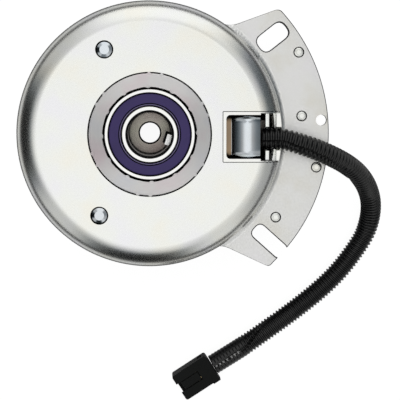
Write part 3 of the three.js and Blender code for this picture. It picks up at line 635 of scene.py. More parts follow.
class Bench:
    """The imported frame, and the way a finished piece takes its place in it."""

    def __init__(self, frame: dict) -> None:
        """Read which body and which material slot each CAD node has.
        """
        record = frame["record"]
        self.nodes: dict[str, bpy.types.Object] = frame["nodes"]
        self.body_of = {n: b for b, names in record["behaviour"]["bodies"].items() for n in names}
        self.slot_of = {row["node"]: row["material_slot"] for row in record["subparts"]}
        self.finishes = {finish.name: finish.material() for finish in FINISHES}
        self.top = self.span("field_hub_ring")[1]

    def place(self, obj: bpy.types.Object, node: str) -> bpy.types.Object:
        """Let a piece stand for a CAD node: same body, same slot, and that slot's finish.

        Args:
            obj: The finished piece.
            node: The CAD node that it replaces.

        Returns:
            The same piece.
        """
        slot = self.slot_of[node]
        obj.data.materials.clear()
        obj.data.materials.append(self.finishes[slot])
        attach(obj, self.body_of[node])
        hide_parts(node)
        LOG.info("%s stands for %s: %d faces", obj.name, node, len(obj.data.polygons))
        return obj

    def turned(self, node: str, ending: str, corners: Outline, segments: int = 144, steps: int = 4,
               at: Pair = (0.0, 0.0), centre_z: float = 0.0) -> bpy.types.Object:
        """Turn a piece on the lathe, name it after its CAD node and let it stand for that node."""
        return self.place(lathe(f"{node}_{ending}", corners, segments, steps, at, centre_z), node)

    def accent(self, obj: bpy.types.Object, finish: Finish, inside: Callable[[Faces], np.ndarray]) -> None:
        """Give some faces of a piece a second finish.

        Args:
            obj: The placed piece.
            finish: The second finish.
            inside: Tells which of the faces take it.
        """
        mesh = obj.data
        count = len(mesh.polygons)
        centre, normal = np.empty(count * 3), np.empty(count * 3)
        mesh.polygons.foreach_get("center", centre)
        mesh.polygons.foreach_get("normal", normal)
        faces = Faces(centre.reshape(-1, 3) / MM, normal.reshape(-1, 3)[:, 2])
        mesh.materials.append(self.finishes[finish.name])
        index = np.empty(count, np.int32)
        mesh.polygons.foreach_get("material_index", index)
        index[inside(faces)] = len(mesh.materials) - 1
        mesh.polygons.foreach_set("material_index", index)
        mesh.update()

    def box(self, node: str) -> np.ndarray:
        """Return a CAD node's lowest and highest corner in millimetres."""
        return np.array(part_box(node)) / MM

    def span(self, node: str) -> Pair:
        """Return the heights of a CAD node's lowest and highest corner."""
        low, high = self.box(node)
        return low[2], high[2]


# ---- Field cup ---------------------------------------------------------------------------------


@dataclass
class FieldShell:
    """The pressed cup with its flange, window, slot, notch and holes.

    Slot, notch, holes and rivets are placed by radius and angle. The slot and the notch are sized by half
    length, half width and corner.
    """

    bench: Bench
    radius: float = 76.5
    sheet: float = 3.8
    shoulder: float = 13.0
    bore: float = 34.9
    top_rings: Triple = (42.0, 50.0, 58.0)
    bottom: float = 37.0
    fillet: float = 4.0
    flange_radius: float = 105.5
    root_turn: Pair = (-64.5, 61.0)
    corner_turn: Pair = (-46.4, 42.2)
    near_root: tuple[Pair, Pair] = ((40.0, -64.6), (47.0, -67.9))
    near_corner: tuple[Pair, Pair] = ((68.9, -78.2), (70.9, -79.1))
    far_corner: tuple[Pair, Pair] = ((76.4, 73.3), (73.2, 72.2))
    far_root: tuple[Pair, Pair] = ((52.6, 64.7), (44.4, 61.7))
    window_x: float = 43.5
    window_y: Pair = (-13.9, 11.1)
    window_wall: float = 58.5
    window_corner: float = 2.6
    frame_width: float = 2.1
    frame_line: float = 0.4
    frame_depth: float = 0.6
    pocket_depth: float = 8.0
    plate_x: float = 63.1
    beside: Pair = (1.2, 1.0)
    loom_y: float = -2.6
    loom_z: float = 56.5
    loom_slot: float = 6.8
    rivets: tuple[Pair, ...] = ((99.7, 28.6), (90.0, 6.6), (100.2, -11.4), (89.2, -33.6))
    plain_hole: Pair = (101.3, 4.5)
    hole: float = 3.2
    notch: Pair = (95.3, -42.0)
    notch_size: Triple = (12.0, 4.45, 3.9)
    slot: Pair = (91.7, 38.1)
    slot_size: Triple = (9.8, 5.2, 4.7)
    edge_line: float = 0.6
    coil_rivets: tuple[Pair, ...] = ((54.3, 118), (54.3, 238))
    pit: float = 5.15
    pit_depth: float = 6.0
    lip: float = 0.3

    def flange_edge(self, turn: np.ndarray) -> np.ndarray:
        """Work out how far the flange reaches at each angle.

        The plan is the flange's outer arc, two straight sides and a curve from each side into the cup,
        taken as one line of points and read by angle; elsewhere it is the cup's own radius.

        Args:
            turn: Angles in degrees, from -180 to 180.

        Returns:
            The reach at each angle.
        """
        near, far = self.corner_turn
        arc = [polar(self.flange_radius, a) for a in np.linspace(near + 0.2, far - 0.2, 90)]
        plan = np.concatenate([
            bent(polar(self.radius, self.root_turn[0]), *self.near_root, 14),
            straight(self.near_root[1], self.near_corner[0]),
            bent(*self.near_corner, polar(self.flange_radius, near), 8),
            np.array(arc),
            bent(polar(self.flange_radius, far), *self.far_corner, 8),
            straight(self.far_corner[1], self.far_root[0]),
            bent(*self.far_root, polar(self.radius, self.root_turn[1]), 14),
        ])
        angle = np.degrees(np.arctan2(plan[:, 1], plan[:, 0]))
        return np.interp(turn, angle, np.hypot(plan[:, 0], plan[:, 1]), left=self.radius, right=self.radius)

    def body(self) -> bpy.types.Object:
        """Make the cup and flange as one closed surface.

        At each angle the section runs from the bore over the flat top, round the shoulder and down the
        wall, out along the fillet and the flange to its edge, back underneath, and up the inside. The fillet
        is a circle's arc that stops early where the flange is short.

        Returns:
            The shell before anything is cut out of it.
        """
        top, shoulder, fillet, low = self.bench.top, self.shoulder, self.fillet, self.lip
        flat = self.radius - shoulder
        by_flange, elsewhere = np.arange(-66, 62.9, 0.4), np.arange(63.2, 293.9, 1.4)
        turn = np.concatenate([by_flange, elsewhere])
        reach = self.flange_edge((turn + 180) % 360 - 180)
        corner_z = self.bottom + self.sheet + fillet
        soft = 0.5 * np.clip((reach - self.radius) / 2, 0, 1)
        last = np.arccos(np.clip((self.radius + fillet - (reach - soft)) / fillet, 0, 1))
        start, end_z = self.radius + fillet * (1 - np.cos(last)), corner_z - fillet * np.sin(last)
        inside, small = self.radius - self.sheet, shoulder - self.sheet
        rows = [
            (self.bore, top - 0.5), (self.bore + 0.12, top - 0.12), (self.bore + 0.5, top),
            *((ring, top) for ring in self.top_rings), (flat - 0.9, top), (flat - 0.45, top - 0.05),
            *((flat + shoulder * math.sin(a), top - shoulder * (1 - math.cos(a)))
              for a in np.radians(np.linspace(1.5, 90, 26))),
            (self.radius, corner_z + 3),
            *((self.radius + fillet * (1 - np.cos(last * share)), corner_z - fillet * np.sin(last * share))
              for share in np.linspace(0, 1, 9)),
            *((start + (reach - soft - start) * share, end_z) for share in (0.35, 0.7, 1.0)),
            (reach - 0.3 * soft, end_z - 0.4 * soft), (reach, end_z - soft),
            (reach, self.bottom + low), (reach - 0.3 * low, self.bottom + 0.3 * low),
            (reach - low, self.bottom),
            (inside + low, self.bottom), (inside, self.bottom + low),
            *((flat + small * math.sin(a), top - shoulder + small * math.cos(a))
              for a in np.radians(np.linspace(90, 0, 9))),
            (self.bore, top - self.sheet),
        ]
        quads = grid_quads(len(rows), len(turn), True, True)
        return tidy(new_object("field_shell_pressing", ringed(rows, turn), quads))

    def cutters(self) -> list[bpy.types.Object]:
        """Make what is cut out: holes, slot, notch, rivet pits and the window in three steps."""
        top, wall = self.bench.top, self.window_wall
        through = (self.bottom - 2, self.bottom + self.sheet + 3)
        tools = [prism("tool", turned_to(circle(self.hole), at), *through)
                 for at in (*self.rivets, self.plain_hole)]
        # The second pass cuts a shallow ledge round the slot and the notch, which is coloured near-black as
        # painted shade.
        for grow, start in ((0.0, through[0]), (self.edge_line, self.bottom + self.sheet - 0.3)):
            for (x, y, corner), at in ((self.slot_size, self.slot), (self.notch_size, self.notch)):
                plan = rectangle((-x - grow, x + grow), (-y - grow, y + grow), corner + grow)
                tools.append(prism("tool", turned_to(plan, at), start, through[1]))
        tools += [prism("tool", turned_to(circle(self.pit), at), top - self.pit_depth, top + 3)
                  for at in self.coil_rivets]
        (y0, y1), deep, inside = self.window_y, wall - self.pocket_depth, self.radius - self.sheet
        beside = (y0 - self.beside[0], y1 + self.beside[1])
        tools.append(prism("tool", rectangle((self.plate_x, inside + 0.2), beside), deep, top + 1.7))
        tools.append(self.frame_groove())
        inside -= 0.6
        left, corner = self.window_x, self.window_corner
        pocket = rounded([(left, y0, corner), (inside, y0), (inside, y1), (left, y1, corner)], 8)
        tools.append(prism("tool", pocket, deep, top + 2))
        tools.append(prism("tool", rectangle((inside - 6, self.radius + 3), beside), wall, top + 1))
        slot = (self.loom_y - self.loom_slot, self.loom_y + self.loom_slot)
        tools.append(prism("tool", rectangle((60, self.radius + 4), slot), self.loom_z, top + 1.5))
        seat = circle(self.loom_slot, (self.loom_y, self.loom_z))
        ends = (np.column_stack([np.full(len(seat), x), seat]) for x in (60, self.radius + 4))
        tools.append(block("tool", *ends))
        return tools

    def frame_groove(self) -> bpy.types.Object:
        """Make the closed rim that cuts the thin groove round the window's frame."""
        (y0, y1), rim, line = self.window_y, self.frame_width, self.frame_line
        left, right, top = self.window_x - rim, self.radius + 5, self.bench.top
        outer = rectangle((left, right), (y0 - rim, y1 + rim), 0.8)
        inner = rectangle((left + line, right - line), (y0 - rim + line, y1 + rim - line), 0.5)
        low, high = top - self.frame_depth, top + 3
        rows = [at_height(plan, z) for plan, z in ((outer, low), (outer, high), (inner, high), (inner, low))]
        return face_outwards(new_object("tool", np.concatenate(rows), grid_quads(4, len(outer), True, True)))

    def in_frame(self, faces: Faces, inset: float) -> np.ndarray:
        """Tell which faces lie on the window's frame, or inside it by an inset from its edge."""
        (y0, y1), rim = self.window_y, self.frame_width - inset
        return (faces.x > self.window_x - rim) & (faces.y > y0 - rim) & (faces.y < y1 + rim)

    def build(self) -> None:
        """Make the shell and the rivets that are fixed in it."""
        shell = self.bench.place(tidy(carve(self.body(), self.cutters())), "field_shell")
        self.dress(shell)
        top = self.bench.top
        for i, at in enumerate(self.coil_rivets, 1):
            low = self.bench.span(f"coil_rivet_{i}")[0]
            rivet = self.bench.turned(f"coil_rivet_{i}", "turned", [
                (0, low), (2.5, low, 0.3), (2.5, top - 5), (4.9, top - 5, 0.3), (4.9, top - 1.8),
                (4.55, top - 1.1), (4.4, top - 0.75, 0.2), (2.7, top, 0.5), (0, top + 0.1)],
                64, 6, polar(*at))
            # Painted shade: the rivet below its head is coloured near-black, as the shade in the gap round it
            # in its pit.
            self.bench.accent(rivet, SHADE_BLACK, lambda f: f.z < top - 0.85)
        for i, at in enumerate(self.rivets, 1):
            low, high = self.bench.span(f"flange_rivet_{i}")
            shank, punched = 2.85, high - 0.3
            rivet = self.bench.turned(f"flange_rivet_{i}", "headed", [
                (0, low), (4.0, low, 0.8), (4.8, low + 2, 0.3), (shank, low + 2), (shank, high - 0.5, 0.3),
                (2.5, high - 0.15, 0.3), (1.8, high), (1.65, punched), (1.4, punched), (1.25, high),
                (0, high)], 48, 4, polar(*at))
            # Painted shade: the rivet's shank in its hole and the sides of its upper end are coloured
            # near-black.
            self.bench.accent(rivet, SHADE_BLACK, lambda f: (f.z > low + 2.2) & (f.z < high - 0.45))

    def dress(self, shell: bpy.types.Object) -> None:
        """Give the flange, its sheared edges, the fillet, the window and the pits their own finishes; most
        dark ones are painted shade, and the frame's light one a painted highlight.
        """
        foot, flat, wall = self.radius + self.fillet, self.radius - self.shoulder, self.window_wall
        top, half = self.bench.top, self.radius / 2
        flange_top = self.bottom + self.sheet
        regions: tuple[tuple[Finish, Callable[[Faces], np.ndarray]], ...] = (
            # Partly painted shade: the flange takes a duller zinc, darker in colour as the cup's shade on it.
            (DULL_ZINC_SHADED, lambda f: (f.reach > foot) & (f.lean > 0.3)),
            # Painted shade: the flange's edge faces and the ledge round the slot and the notch are coloured
            # near-black.
            (EDGE_SHADE, lambda f: (f.reach > foot + 0.2) & (f.lean > f.under)
             & ((f.lean < f.level) | (f.z < flange_top - 0.1))),
            # Painted shade: the wall of the bore is coloured near-black.
            (SHADE_BLACK, lambda f: (f.reach < self.bore + 0.35) & (f.lean > f.under)),
            (FORMED_ZINC, lambda f: (f.reach > self.radius + 0.02) & (f.reach < foot) & (f.lean > 0.02)),
            # Painted highlight: the window's frame is a lighter zinc.
            (FRAME_ZINC_HIGHLIT, lambda f: self.in_frame(f, 0.0) & (f.lean > 0.2) & (f.z > wall - 0.2)),
            # Painted shade: the walls of the window's pocket are coloured near-black.
            (SHADE_BLACK, lambda f: (f.reach < flat) & (np.abs(f.lean) < f.upright) & (f.x > half)
             & ((f.z > top - 1.0) | (f.x < self.window_x + 1.5))),
            # Painted shade: the upright walls inside the cup and round the rivet pits are coloured
            # near-black.
            (SHADE_BLACK, lambda f: (f.reach < flat) & (np.abs(f.lean) < f.upright) & (f.x < half)
             & (f.reach > self.bore + 2)),
            # Painted shade: the frame's thin groove is coloured near-black.
            (SHADE_BLACK, lambda f: self.in_frame(f, 0.0) & ~self.in_frame(f, self.frame_line)
             & (f.z > wall)),
        )
        for finish, inside in regions:
            self.bench.accent(shell, finish, inside)


@dataclass
class HubRing:
    """The turned inner pole that carries the bearing, staked over it at twelve places."""

    bench: Bench
    outer: float = 34.6
    seat: float = 26.3
    bore: float = 23.4
    relief: float = 0.55
    gutter: float = 2.4
    stake_step: float = 30.0
    first_stake: float = 2.0
    stake_half: float = 2.6
    stake_sunk: float = 0.45
    pair_step: float = 60.0
    first_pair: float = 24.5
    pair_half: float = 6.0
    nick_half: float = 1.5
    nick_out: float = 0.8
    edge: float = 0.4

    def build(self) -> None:
        """Make the ring: a lathe outline whose top inner and outer edges move with the angle.

        A gutter runs between the ring and the bearing. At each stake it closes and its floor rises, by a
        flat-topped bell curve of the angle. The outer edge has six pairs of narrow nicks pushed out of it.
        """
        low, top = self.bench.span("field_hub_ring")
        seat_z = self.bench.span("field_bearing_outer")[0] - 0.3
        turn = np.arange(0, 360, 0.5)
        away = self.from_nearest(turn, self.first_stake, self.stake_step)
        close = np.exp(-((away / self.stake_half) ** 4))
        pair = self.from_nearest(turn, self.first_pair, self.pair_step)
        nick = np.exp(-(((np.abs(pair) - self.pair_half) / self.nick_half) ** 6))
        bow = 1 - 0.35 * (np.abs(away) / (self.stake_step / 2)) ** 2
        inner = self.seat + 0.1 + self.relief * (1 - close) * bow
        sunk = top - self.gutter + (self.gutter - self.stake_sunk) * close
        seat, outer, edge, rim = self.seat, self.outer, self.edge, self.seat + self.relief
        rows = [
            (seat, seat_z + 1), (seat, sunk - 0.3), (inner - 0.1, sunk), (inner, sunk + 0.1),
            (inner, top - 0.2 - 0.2 * close), (inner + 0.15, top - 0.2 * close),
            (inner + 0.5, top - 0.16 * close),
            (rim + 1.1, top - 0.02 * close), (rim + 1.4, top), (outer - 3.6, top), (outer - 1.3, top),
            (outer - 1.2, top - 0.12 * nick), (outer - 0.5, top - 0.04 * nick),
            (outer - 0.2 + (self.nick_out + 0.1) * nick, top - 0.05 + 0.03 * nick),
            (outer + self.nick_out * nick, top - 0.25 + 0.15 * nick),
            (outer + self.nick_out * nick, top - 0.8),
            (outer, top - 1.4), (outer, low + edge), (outer - edge, low),
            (self.bore + edge, low), (self.bore, low + edge), (self.bore, seat_z), (seat, seat_z),
        ]
        quads = grid_quads(len(rows), len(turn), True, True)
        ring = tidy(new_object("hub_ring_turned", ringed(rows, turn), quads), 50)
        self.bench.place(ring, "field_hub_ring")
        # Painted shade: the gutter between the ring and the bearing is coloured near-black.
        self.bench.accent(ring, SHADE_BLACK, lambda f: (f.reach < seat + 1.1) & (f.z < top - self.stake_sunk))

    def from_nearest(self, turn: np.ndarray, first: float, step: float) -> np.ndarray:
        """Return how far each angle is from the nearest of a row of places round the ring."""
        return (turn - first + step / 2) % step - step / 2


@dataclass
class Bearing:
    """A sealed ball bearing; its nodes' names start with the prefix."""

    bench: Bench
    prefix: str
    bore: float = 12.7
    inner_wall: float = 15.8
    outer_wall: float = 23.35
    outer: float = 26.0
    chamfer: float = 1.15
    race: float = 0.5
    race_half: float = 3.0
    step: float = 0.6
    lip: float = 0.6
    groove: float = 0.65

    def build(self) -> None:
        """Make both rings and both seals."""
        inner_node, outer_node = f"{self.prefix}_bearing_inner", f"{self.prefix}_bearing_outer"
        low, top = self.bench.span(inner_node)
        middle = (low + top) / 2
        below, above = middle - self.race_half, middle + self.race_half
        bore, wall, chamfer = self.bore, self.inner_wall, self.chamfer
        inner = self.bench.turned(inner_node, "ground", [
            (bore, low + chamfer, 0.4), (bore + chamfer, low, 0.3), (wall, low, 0.35), (wall, below, 0.1),
            (wall - self.race, middle, self.race_half), (wall, above, 0.1), (wall, top, 0.35),
            (bore + chamfer, top, 0.3), (bore, top - chamfer, 0.4)])
        # Painted shade: the inner ring's bore chamfer and its face beside the seals are coloured near-black.
        self.bench.accent(inner, SHADE_BLACK, lambda f: f.reach < bore + chamfer * 0.85)
        self.bench.accent(inner, SHADE_BLACK, lambda f: f.reach > wall - 0.12)
        face, back, step = self.outer_wall, self.outer, self.step
        outer = self.bench.turned(outer_node, "ground", [
            (back, low + step, 0.2), (back, top - step, 0.2), (back - 0.55, top, 0.15),
            (face + step, top, 0.1),
            (face, top - step, 0.1), (face, above, 0.1), (face + self.race, middle, self.race_half),
            (face, below, 0.1), (face, low + step, 0.1), (face + step, low, 0.1), (back - 0.55, low, 0.15)])
        # Painted shade: the outer ring's face and step beside the seals and its outer edge are coloured
        # near-black.
        self.bench.accent(outer, SHADE_BLACK, lambda f: (f.reach < face + 0.52) | (f.reach > back - 0.5))
        self.seal("top", 1)
        self.seal("bottom", -1)

    def seal(self, side: str, way: int) -> None:
        """Make a moulded seal with a lip at its inner edge, and a groove round the lip, facing up or down."""
        node = f"{self.prefix}_bearing_seal_{side}"
        back, face = self.bench.span(node)[::way]
        inner, outer = self.inner_wall + 0.8, self.outer_wall - 0.25
        start, end = inner + self.lip, inner + self.lip + self.groove
        floor, lip = face - 0.6 * way, face - 0.05 * way
        seal = self.bench.turned(node, "moulded", [
            (inner, back), (inner, face - 0.3 * way, 0.1), (inner + 0.2, lip, 0.15), (start, lip, 0.15),
            (start + 0.15, floor, 0.1), (end - 0.15, floor, 0.1), (end, face, 0.15),
            (outer - 0.5, face, 0.3), (outer, face - 0.25 * way, 0.15), (outer, back)], 144, 3)
        # Painted shade: the groove round the lip and the seal's inner edge are coloured near-black.
        self.bench.accent(seal, SHADE_BLACK, lambda f: ((f.reach > start + 0.06) & (f.reach < end - 0.07))
                          | (f.reach < inner + 0.04))
        # Painted highlight: the lip is a lighter rubber colour.
        self.bench.accent(seal, SEAL_LIP_HIGHLIT, lambda f: (f.reach > inner + 0.04) & (f.reach < start - 0.1))


@dataclass
class FieldBalls:
    """The field bearing's cage and balls."""

    bench: Bench
    count: int = 9
    circle_radius: float = 19.575
    ball: float = 3.9

    def build(self) -> None:
        """Give each ball a smooth surface; the cages keep their CAD shape."""
        outline = [polar(self.ball, a) for a in np.linspace(-90, 90, 17)]
        for i in range(self.count):
            node = f"field_ball_{i + 1}"
            middle = sum(self.bench.span(node)) / 2
            place = polar(self.circle_radius, 360 * i / self.count)
            self.bench.turned(node, "lapped", outline, 32, 1, place, middle)
        for node in ("field_bearing_cage", "pulley_bearing_cage"):
            cage = self.bench.nodes[node]
            cage.data.materials.clear()
            cage.data.materials.append(self.bench.finishes["spring_steel"])


@dataclass
class Coil:
    """Bobbin, winding and the two short leads inside the cup."""

    bench: Bench
    inner: float = 35.2
    outer: float = 61.5
    wall: float = 1.5
    gap: float = 0.3
    short: float = 2.0
    lead: float = 1.15

    def build(self) -> None:
        """Make the bobbin's channel, the wound ring in it and the leads to the conduit."""
        low, top = self.bench.span("coil_bobbin")
        inner, outer, wall = self.inner, self.outer, self.wall
        self.bench.turned("coil_bobbin", "moulded", [
            (inner, low, 0.3), (outer, low, 0.4), (outer, low + wall, 0.4), (inner + wall, low + wall),
            (inner + wall, top - wall), (outer, top - wall, 0.4), (outer, top, 0.4), (inner, top, 0.3)])
        low, top = self.bench.span("coil_winding")
        inner, outer = inner + wall + self.gap, outer - self.short
        self.bench.turned("coil_winding", "wound", [
            (inner, low), (outer, low, 0.6), (outer, top, 0.6), (inner, top)])
        for node in ("coil_lead_1", "coil_lead_2"):
            low, high = self.bench.box(node)
            path = np.tile((low + high) / 2, (8, 1))
            path[:, 0] = np.linspace(low[0], high[0], len(path))
            self.bench.place(tube(f"{node}_wire", path, np.full(len(path), self.lead), 20), node)


def frames_along(path: np.ndarray) -> tuple[np.ndarray, np.ndarray, np.ndarray]:
    """Work out a frame at each point of a path that is never vertical.

    The first axis runs along the path, the second is the part of +Z square to it, and the third is their
    cross product.

    Args:
        path: Points, three numbers each.

    Returns:
        The three axes at each point.
    """
    along = np.gradient(path, axis=0)
    along /= np.linalg.norm(along, axis=1, keepdims=True)
    up = np.array([0.0, 0.0, 1.0]) - along[:, 2:3] * along
    up /= np.linalg.norm(up, axis=1, keepdims=True)
    return along, up, np.cross(along, up)


def tube(name: str, path: np.ndarray, radius: np.ndarray, sides: int) -> bpy.types.Object:
    """Carry a round section along a path and close its ends.

    Args:
        name: The object's name.
        path: Points, three numbers each.
        radius: The radius at each point, or at each point and side.
        sides: Points round the section.

    Returns:
        The tidied object.
    """
    _, up, across = frames_along(path)
    turn = np.linspace(0, 2 * np.pi, sides, endpoint=False)
    reach = radius[:, None] if radius.ndim == 1 else radius
    ring = up[:, None, :] * np.cos(turn)[None, :, None] + across[:, None, :] * np.sin(turn)[None, :, None]
    points = path[:, None, :] + ring * np.broadcast_to(reach, (len(path), sides))[..., None]
    return tidy(capped(name, points), ROUND_SHARP)


@dataclass
class LeadWindow:
    """The bright pressed cover over the lead and the plate that grips the conduit."""

    bench: Bench
    crest: Triple = (56.2, -1.4, 65.3)
    left: float = 12.4
    right: float = 7.0
    slope: float = 0.56
    bend: float = 4.6
    foot: float = 3.0
    half_y: float = 12.1
    end: float = 4.4
    end_fall: float = 2.6
    end_turn: float = 80.0
    sheet: float = 0.8
    overlap: float = 1.0
    thinned: float = 0.8

    def build(self) -> None:
        """Make both pieces."""
        cover = self.bench.place(self.cover(), "lead_cover")
        # Painted reflection: the cover's flat foot is coloured brown.
        self.bench.accent(cover, BROWN_REFLECTION, lambda f: f.x < self.crest[0] - self.left + self.foot)
        self.bench.place(self.retainer(), "lead_retainer")

    def cover(self) -> bpy.types.Object:
        """Make the cover: a ridge across the window whose two ends curve down.

        Across, the surface falls from the crest by the slope times (the root of the distance squared plus the
        bend squared, less the bend): round at the crest, nearly straight beyond it, and level along the foot
        at the far left. Along, each end falls in its last stretch by nearly a quarter turn of a circle,
        scaled to the end's own fall.

        Returns:
            The cover as a thin sheet.
        """
        x = self.crest[0] + np.linspace(-self.left, self.right, 61)[:, None]
        over = np.radians(np.linspace(0, self.end_turn, 16))
        level = np.linspace(0, self.half_y - self.end, 9)[:-1]
        half = np.concatenate([level, self.half_y - self.end + self.end * np.sin(over)])
        fall = np.concatenate([np.zeros(len(level)), self.end_fall * (1 - np.cos(over))])
        y = np.concatenate([-half[:0:-1], half])[None, :]
        drop = np.concatenate([fall[:0:-1], fall])[None, :]
        reach = np.minimum(np.abs(x - self.crest[0]), self.left - self.foot)
        ridge = self.slope * (np.sqrt(reach**2 + self.bend**2) - self.bend)
        z = self.crest[2] - ridge - drop
        points = np.stack(np.broadcast_arrays(x, self.crest[1] + y, z), axis=-1)
        upwards = grid_quads(*z.shape, False, False)[:, ::-1]
        return tidy(thickened(new_object("lead_cover_pressed", points, upwards), self.sheet, -1), ROUND_SHARP)

    def retainer(self) -> bpy.types.Object:
        """Make the upright plate: a slotted outline in Y and Z, carried through its thickness in X."""
        low, high = self.bench.box("lead_retainer")
        middle, half, seat_z = FieldShell.loom_y, FieldShell.loom_slot, FieldShell.loom_z
        seat = [(middle + half * math.cos(t), seat_z + half * math.sin(t))
                for t in np.radians(np.linspace(360, 180, 25))]
        near_y, far_y = FieldShell.window_y[0] - self.overlap, FieldShell.window_y[1] + self.overlap
        outline = np.array([(near_y, high[2]), (near_y, low[2]), (far_y, low[2]), (far_y, high[2]),
                            (middle + half, high[2]), *seat, (middle - half, high[2])])
        ends = (low[0], high[0] - self.thinned)
        near, far = (np.column_stack([np.full(len(outline), x), outline]) for x in ends)
        plate = tidy(block("lead_retainer_cut", near, far))
        plate.modifiers.clear()
        return bevelled(plate, 0.3)


@dataclass
class Brake:
    """The stepped bracket under the flange and its friction lining."""

    bench: Bench
    start: float = -36.5
    end: float = 32.0
    inner: float = 61.0
    wall: float = 78.6
    outer: float = 104.0
    sheet: float = 2.8
    lining: Pair = (61.5, 71.0)
    hole: float = 3.25
    plain_hole: float = 4.2
    columns: int = 120

    def build(self) -> None:
        """Make both pieces."""
        low, top = self.bench.span("brake_bracket")
        under, floor, wall = top - self.sheet, low + self.sheet, self.wall + self.sheet
        section = rounded([
            (self.inner, low, 0.4), (wall, low, 2.6), (wall, under, 0.8), (self.outer, under, 0.4),
            (self.outer, top, 0.4), (self.wall, top, 2.6), (self.wall, floor, 0.8),
            (self.inner, floor, 0.4)], 5)
        bracket = self.swept("brake_bracket_pressed", section, self.start, self.end)
        places = [(self.hole, at) for at in FieldShell.rivets] + [(self.plain_hole, FieldShell.plain_hole)]
        holes = [prism("tool", turned_to(circle(radius), at), under - 2, top + 2) for radius, at in places]
        self.bench.place(tidy(carve(bracket, holes)), "brake_bracket")
        low, top = self.bench.span("brake_lining")
        inner, outer = self.lining
        section = rounded([(inner, low, 0.2), (outer, low, 0.2), (outer, top, 0.5), (inner, top, 0.5)], 3)
        lining = self.swept("brake_lining_moulded", section, self.start + 1, self.end - 1)
        self.bench.place(lining, "brake_lining")

    def swept(self, name: str, section: np.ndarray, start: float, end: float) -> bpy.types.Object:
        """Carry a (radius, height) section round the shaft from one angle to another and close its ends."""
        turn = np.radians(np.linspace(start, end, self.columns))[:, None]
        return tidy(capped(name, around(section[:, 0], section[:, 1], turn)))


# ---- Rotor, armature and pulley ----------------------------------------------------------------


@dataclass
class Rotor:
    """What turns with the shaft: keyed hub, pole disc, spacer and end washer."""

    bench: Bench
    bore: float = 12.9
    hub_radius: float = 20.0
    nose: float = 16.5
    nose_height: float = 4.0
    key_turn: float = -17.4
    key_inner: float = 9.9
    key_width: float = 6.3
    key_shade_root: float = 1.1
    disc_bore: float = 20.3
    disc_radius: float = 71.6
    disc_rim: float = 3.0
    disc_web: float = 4.0
    slots: Pair = (46, 60)
    slot_width: float = 3.0
    slot_turn: float = 50.0
    washer: float = 19.0
    washer_bore: float = 6.1
    washer_seen: float = 12.2

    def build(self) -> None:
        """Make the four pieces."""
        self.hub()
        self.disc()
        low, top = self.bench.span("bearing_spacer")
        self.bench.turned("bearing_spacer", "turned", ring_outline(self.bore, self.nose, low, top, 0.3))
        low, top = self.bench.span("end_washer")
        hole, seen = self.washer_bore, self.washer_seen
        washer = self.bench.turned("end_washer", "turned", [
            (hole, low + 0.6, 0.2), (hole + 0.6, low, 0.2), (self.washer, low, 0.6), (self.washer, top, 0.6),
            (seen, top), (hole + 0.9, top, 0.2), (hole + 0.45, top - 0.45, 0.1), (hole, top - 0.9, 0.2)])
        # Painted shade: the washer's face seen down the bore is a darker iron.
        self.bench.accent(washer, BORE_SHADE_IRON, lambda f: (f.lean > 0.5) & (f.reach < seen))
        # Painted shade: the edge of the washer's hole is coloured near-black.
        self.bench.accent(washer, SHADE_BLACK, lambda f: (f.reach < hole + 0.8) & (f.z > low + 1))

    def hub(self) -> None:
        """Make the hub with its key, which stands on a wider, lower root in the bore; root, key sides and
        bore are coloured near-black as painted shade.
        """
        low, top = self.bench.span("rotor_hub")
        hub = lathe("rotor_hub_turned", [
            (self.bore, low, 0.5), (self.nose, low, 0.4), (self.hub_radius, low + self.nose_height, 0.5),
            (self.hub_radius, top - 2, 0.4), (self.nose, top, 0.4), (self.bore, top, 0.5)])
        half, outer = self.key_width / 2, self.bore + 1.2
        key = rectangle((self.key_inner, outer), (-half, half), 0.35)
        # Painted shade: the root is a made-up block, wider and lower than the key, that stands in for the
        # shade beside the key.
        root = rectangle((self.key_inner - self.key_shade_root, outer), (-half + 0.5, half + 1.2), 0.5)
        keys = [prism("tool", turned_to(plan, (0.0, self.key_turn)), low + 0.5, top - sunk)
                for plan, sunk in ((key, 1), (root, 2.6))]
        hub = self.bench.place(tidy(carve(hub, keys, "UNION")), "rotor_hub")
        end, bore = top - 1.5, self.bore
        self.bench.accent(hub, CUT_FACE, lambda f: (f.reach < bore + 0.1) & (f.lean > f.level) & (f.z > end))
        # Painted shade: the bore, the key's sides and the root are coloured near-black.
        self.bench.accent(hub, SHADE_BLACK, lambda f: (f.reach < bore - 0.1)
                          & ((f.lean < f.level) | (f.z < end)))

    def disc(self) -> None:
        """Make the pole disc with its two rings of slots."""
        low, top = self.bench.span("rotor_disc")
        bore, outer, web = self.disc_bore, self.disc_radius, top - self.disc_web
        rim = outer - self.disc_rim
        disc = lathe("rotor_disc_turned", [
            (bore, low, 0.4), (outer, low, 0.6), (outer, top, 0.5), (rim, top, 0.5), (rim, web, 0.6),
            (bore, web, 0.4)], 160)
        plans = [sector(inner, inner + self.slot_width, start, start + self.slot_turn, 20)
                 for inner in self.slots for start in range(5, 365, 60)]
        slots = [prism("tool", plan, low - 1, top) for plan in plans]
        disc = self.bench.place(tidy(carve(disc, slots)), "rotor_disc")
        # Painted shade: the disc's top faces beyond the outer ring of slots are coloured near-black.
        self.bench.accent(disc, SHADE_BLACK, lambda f: (f.lean > f.level) & (f.reach > self.slots[1]))


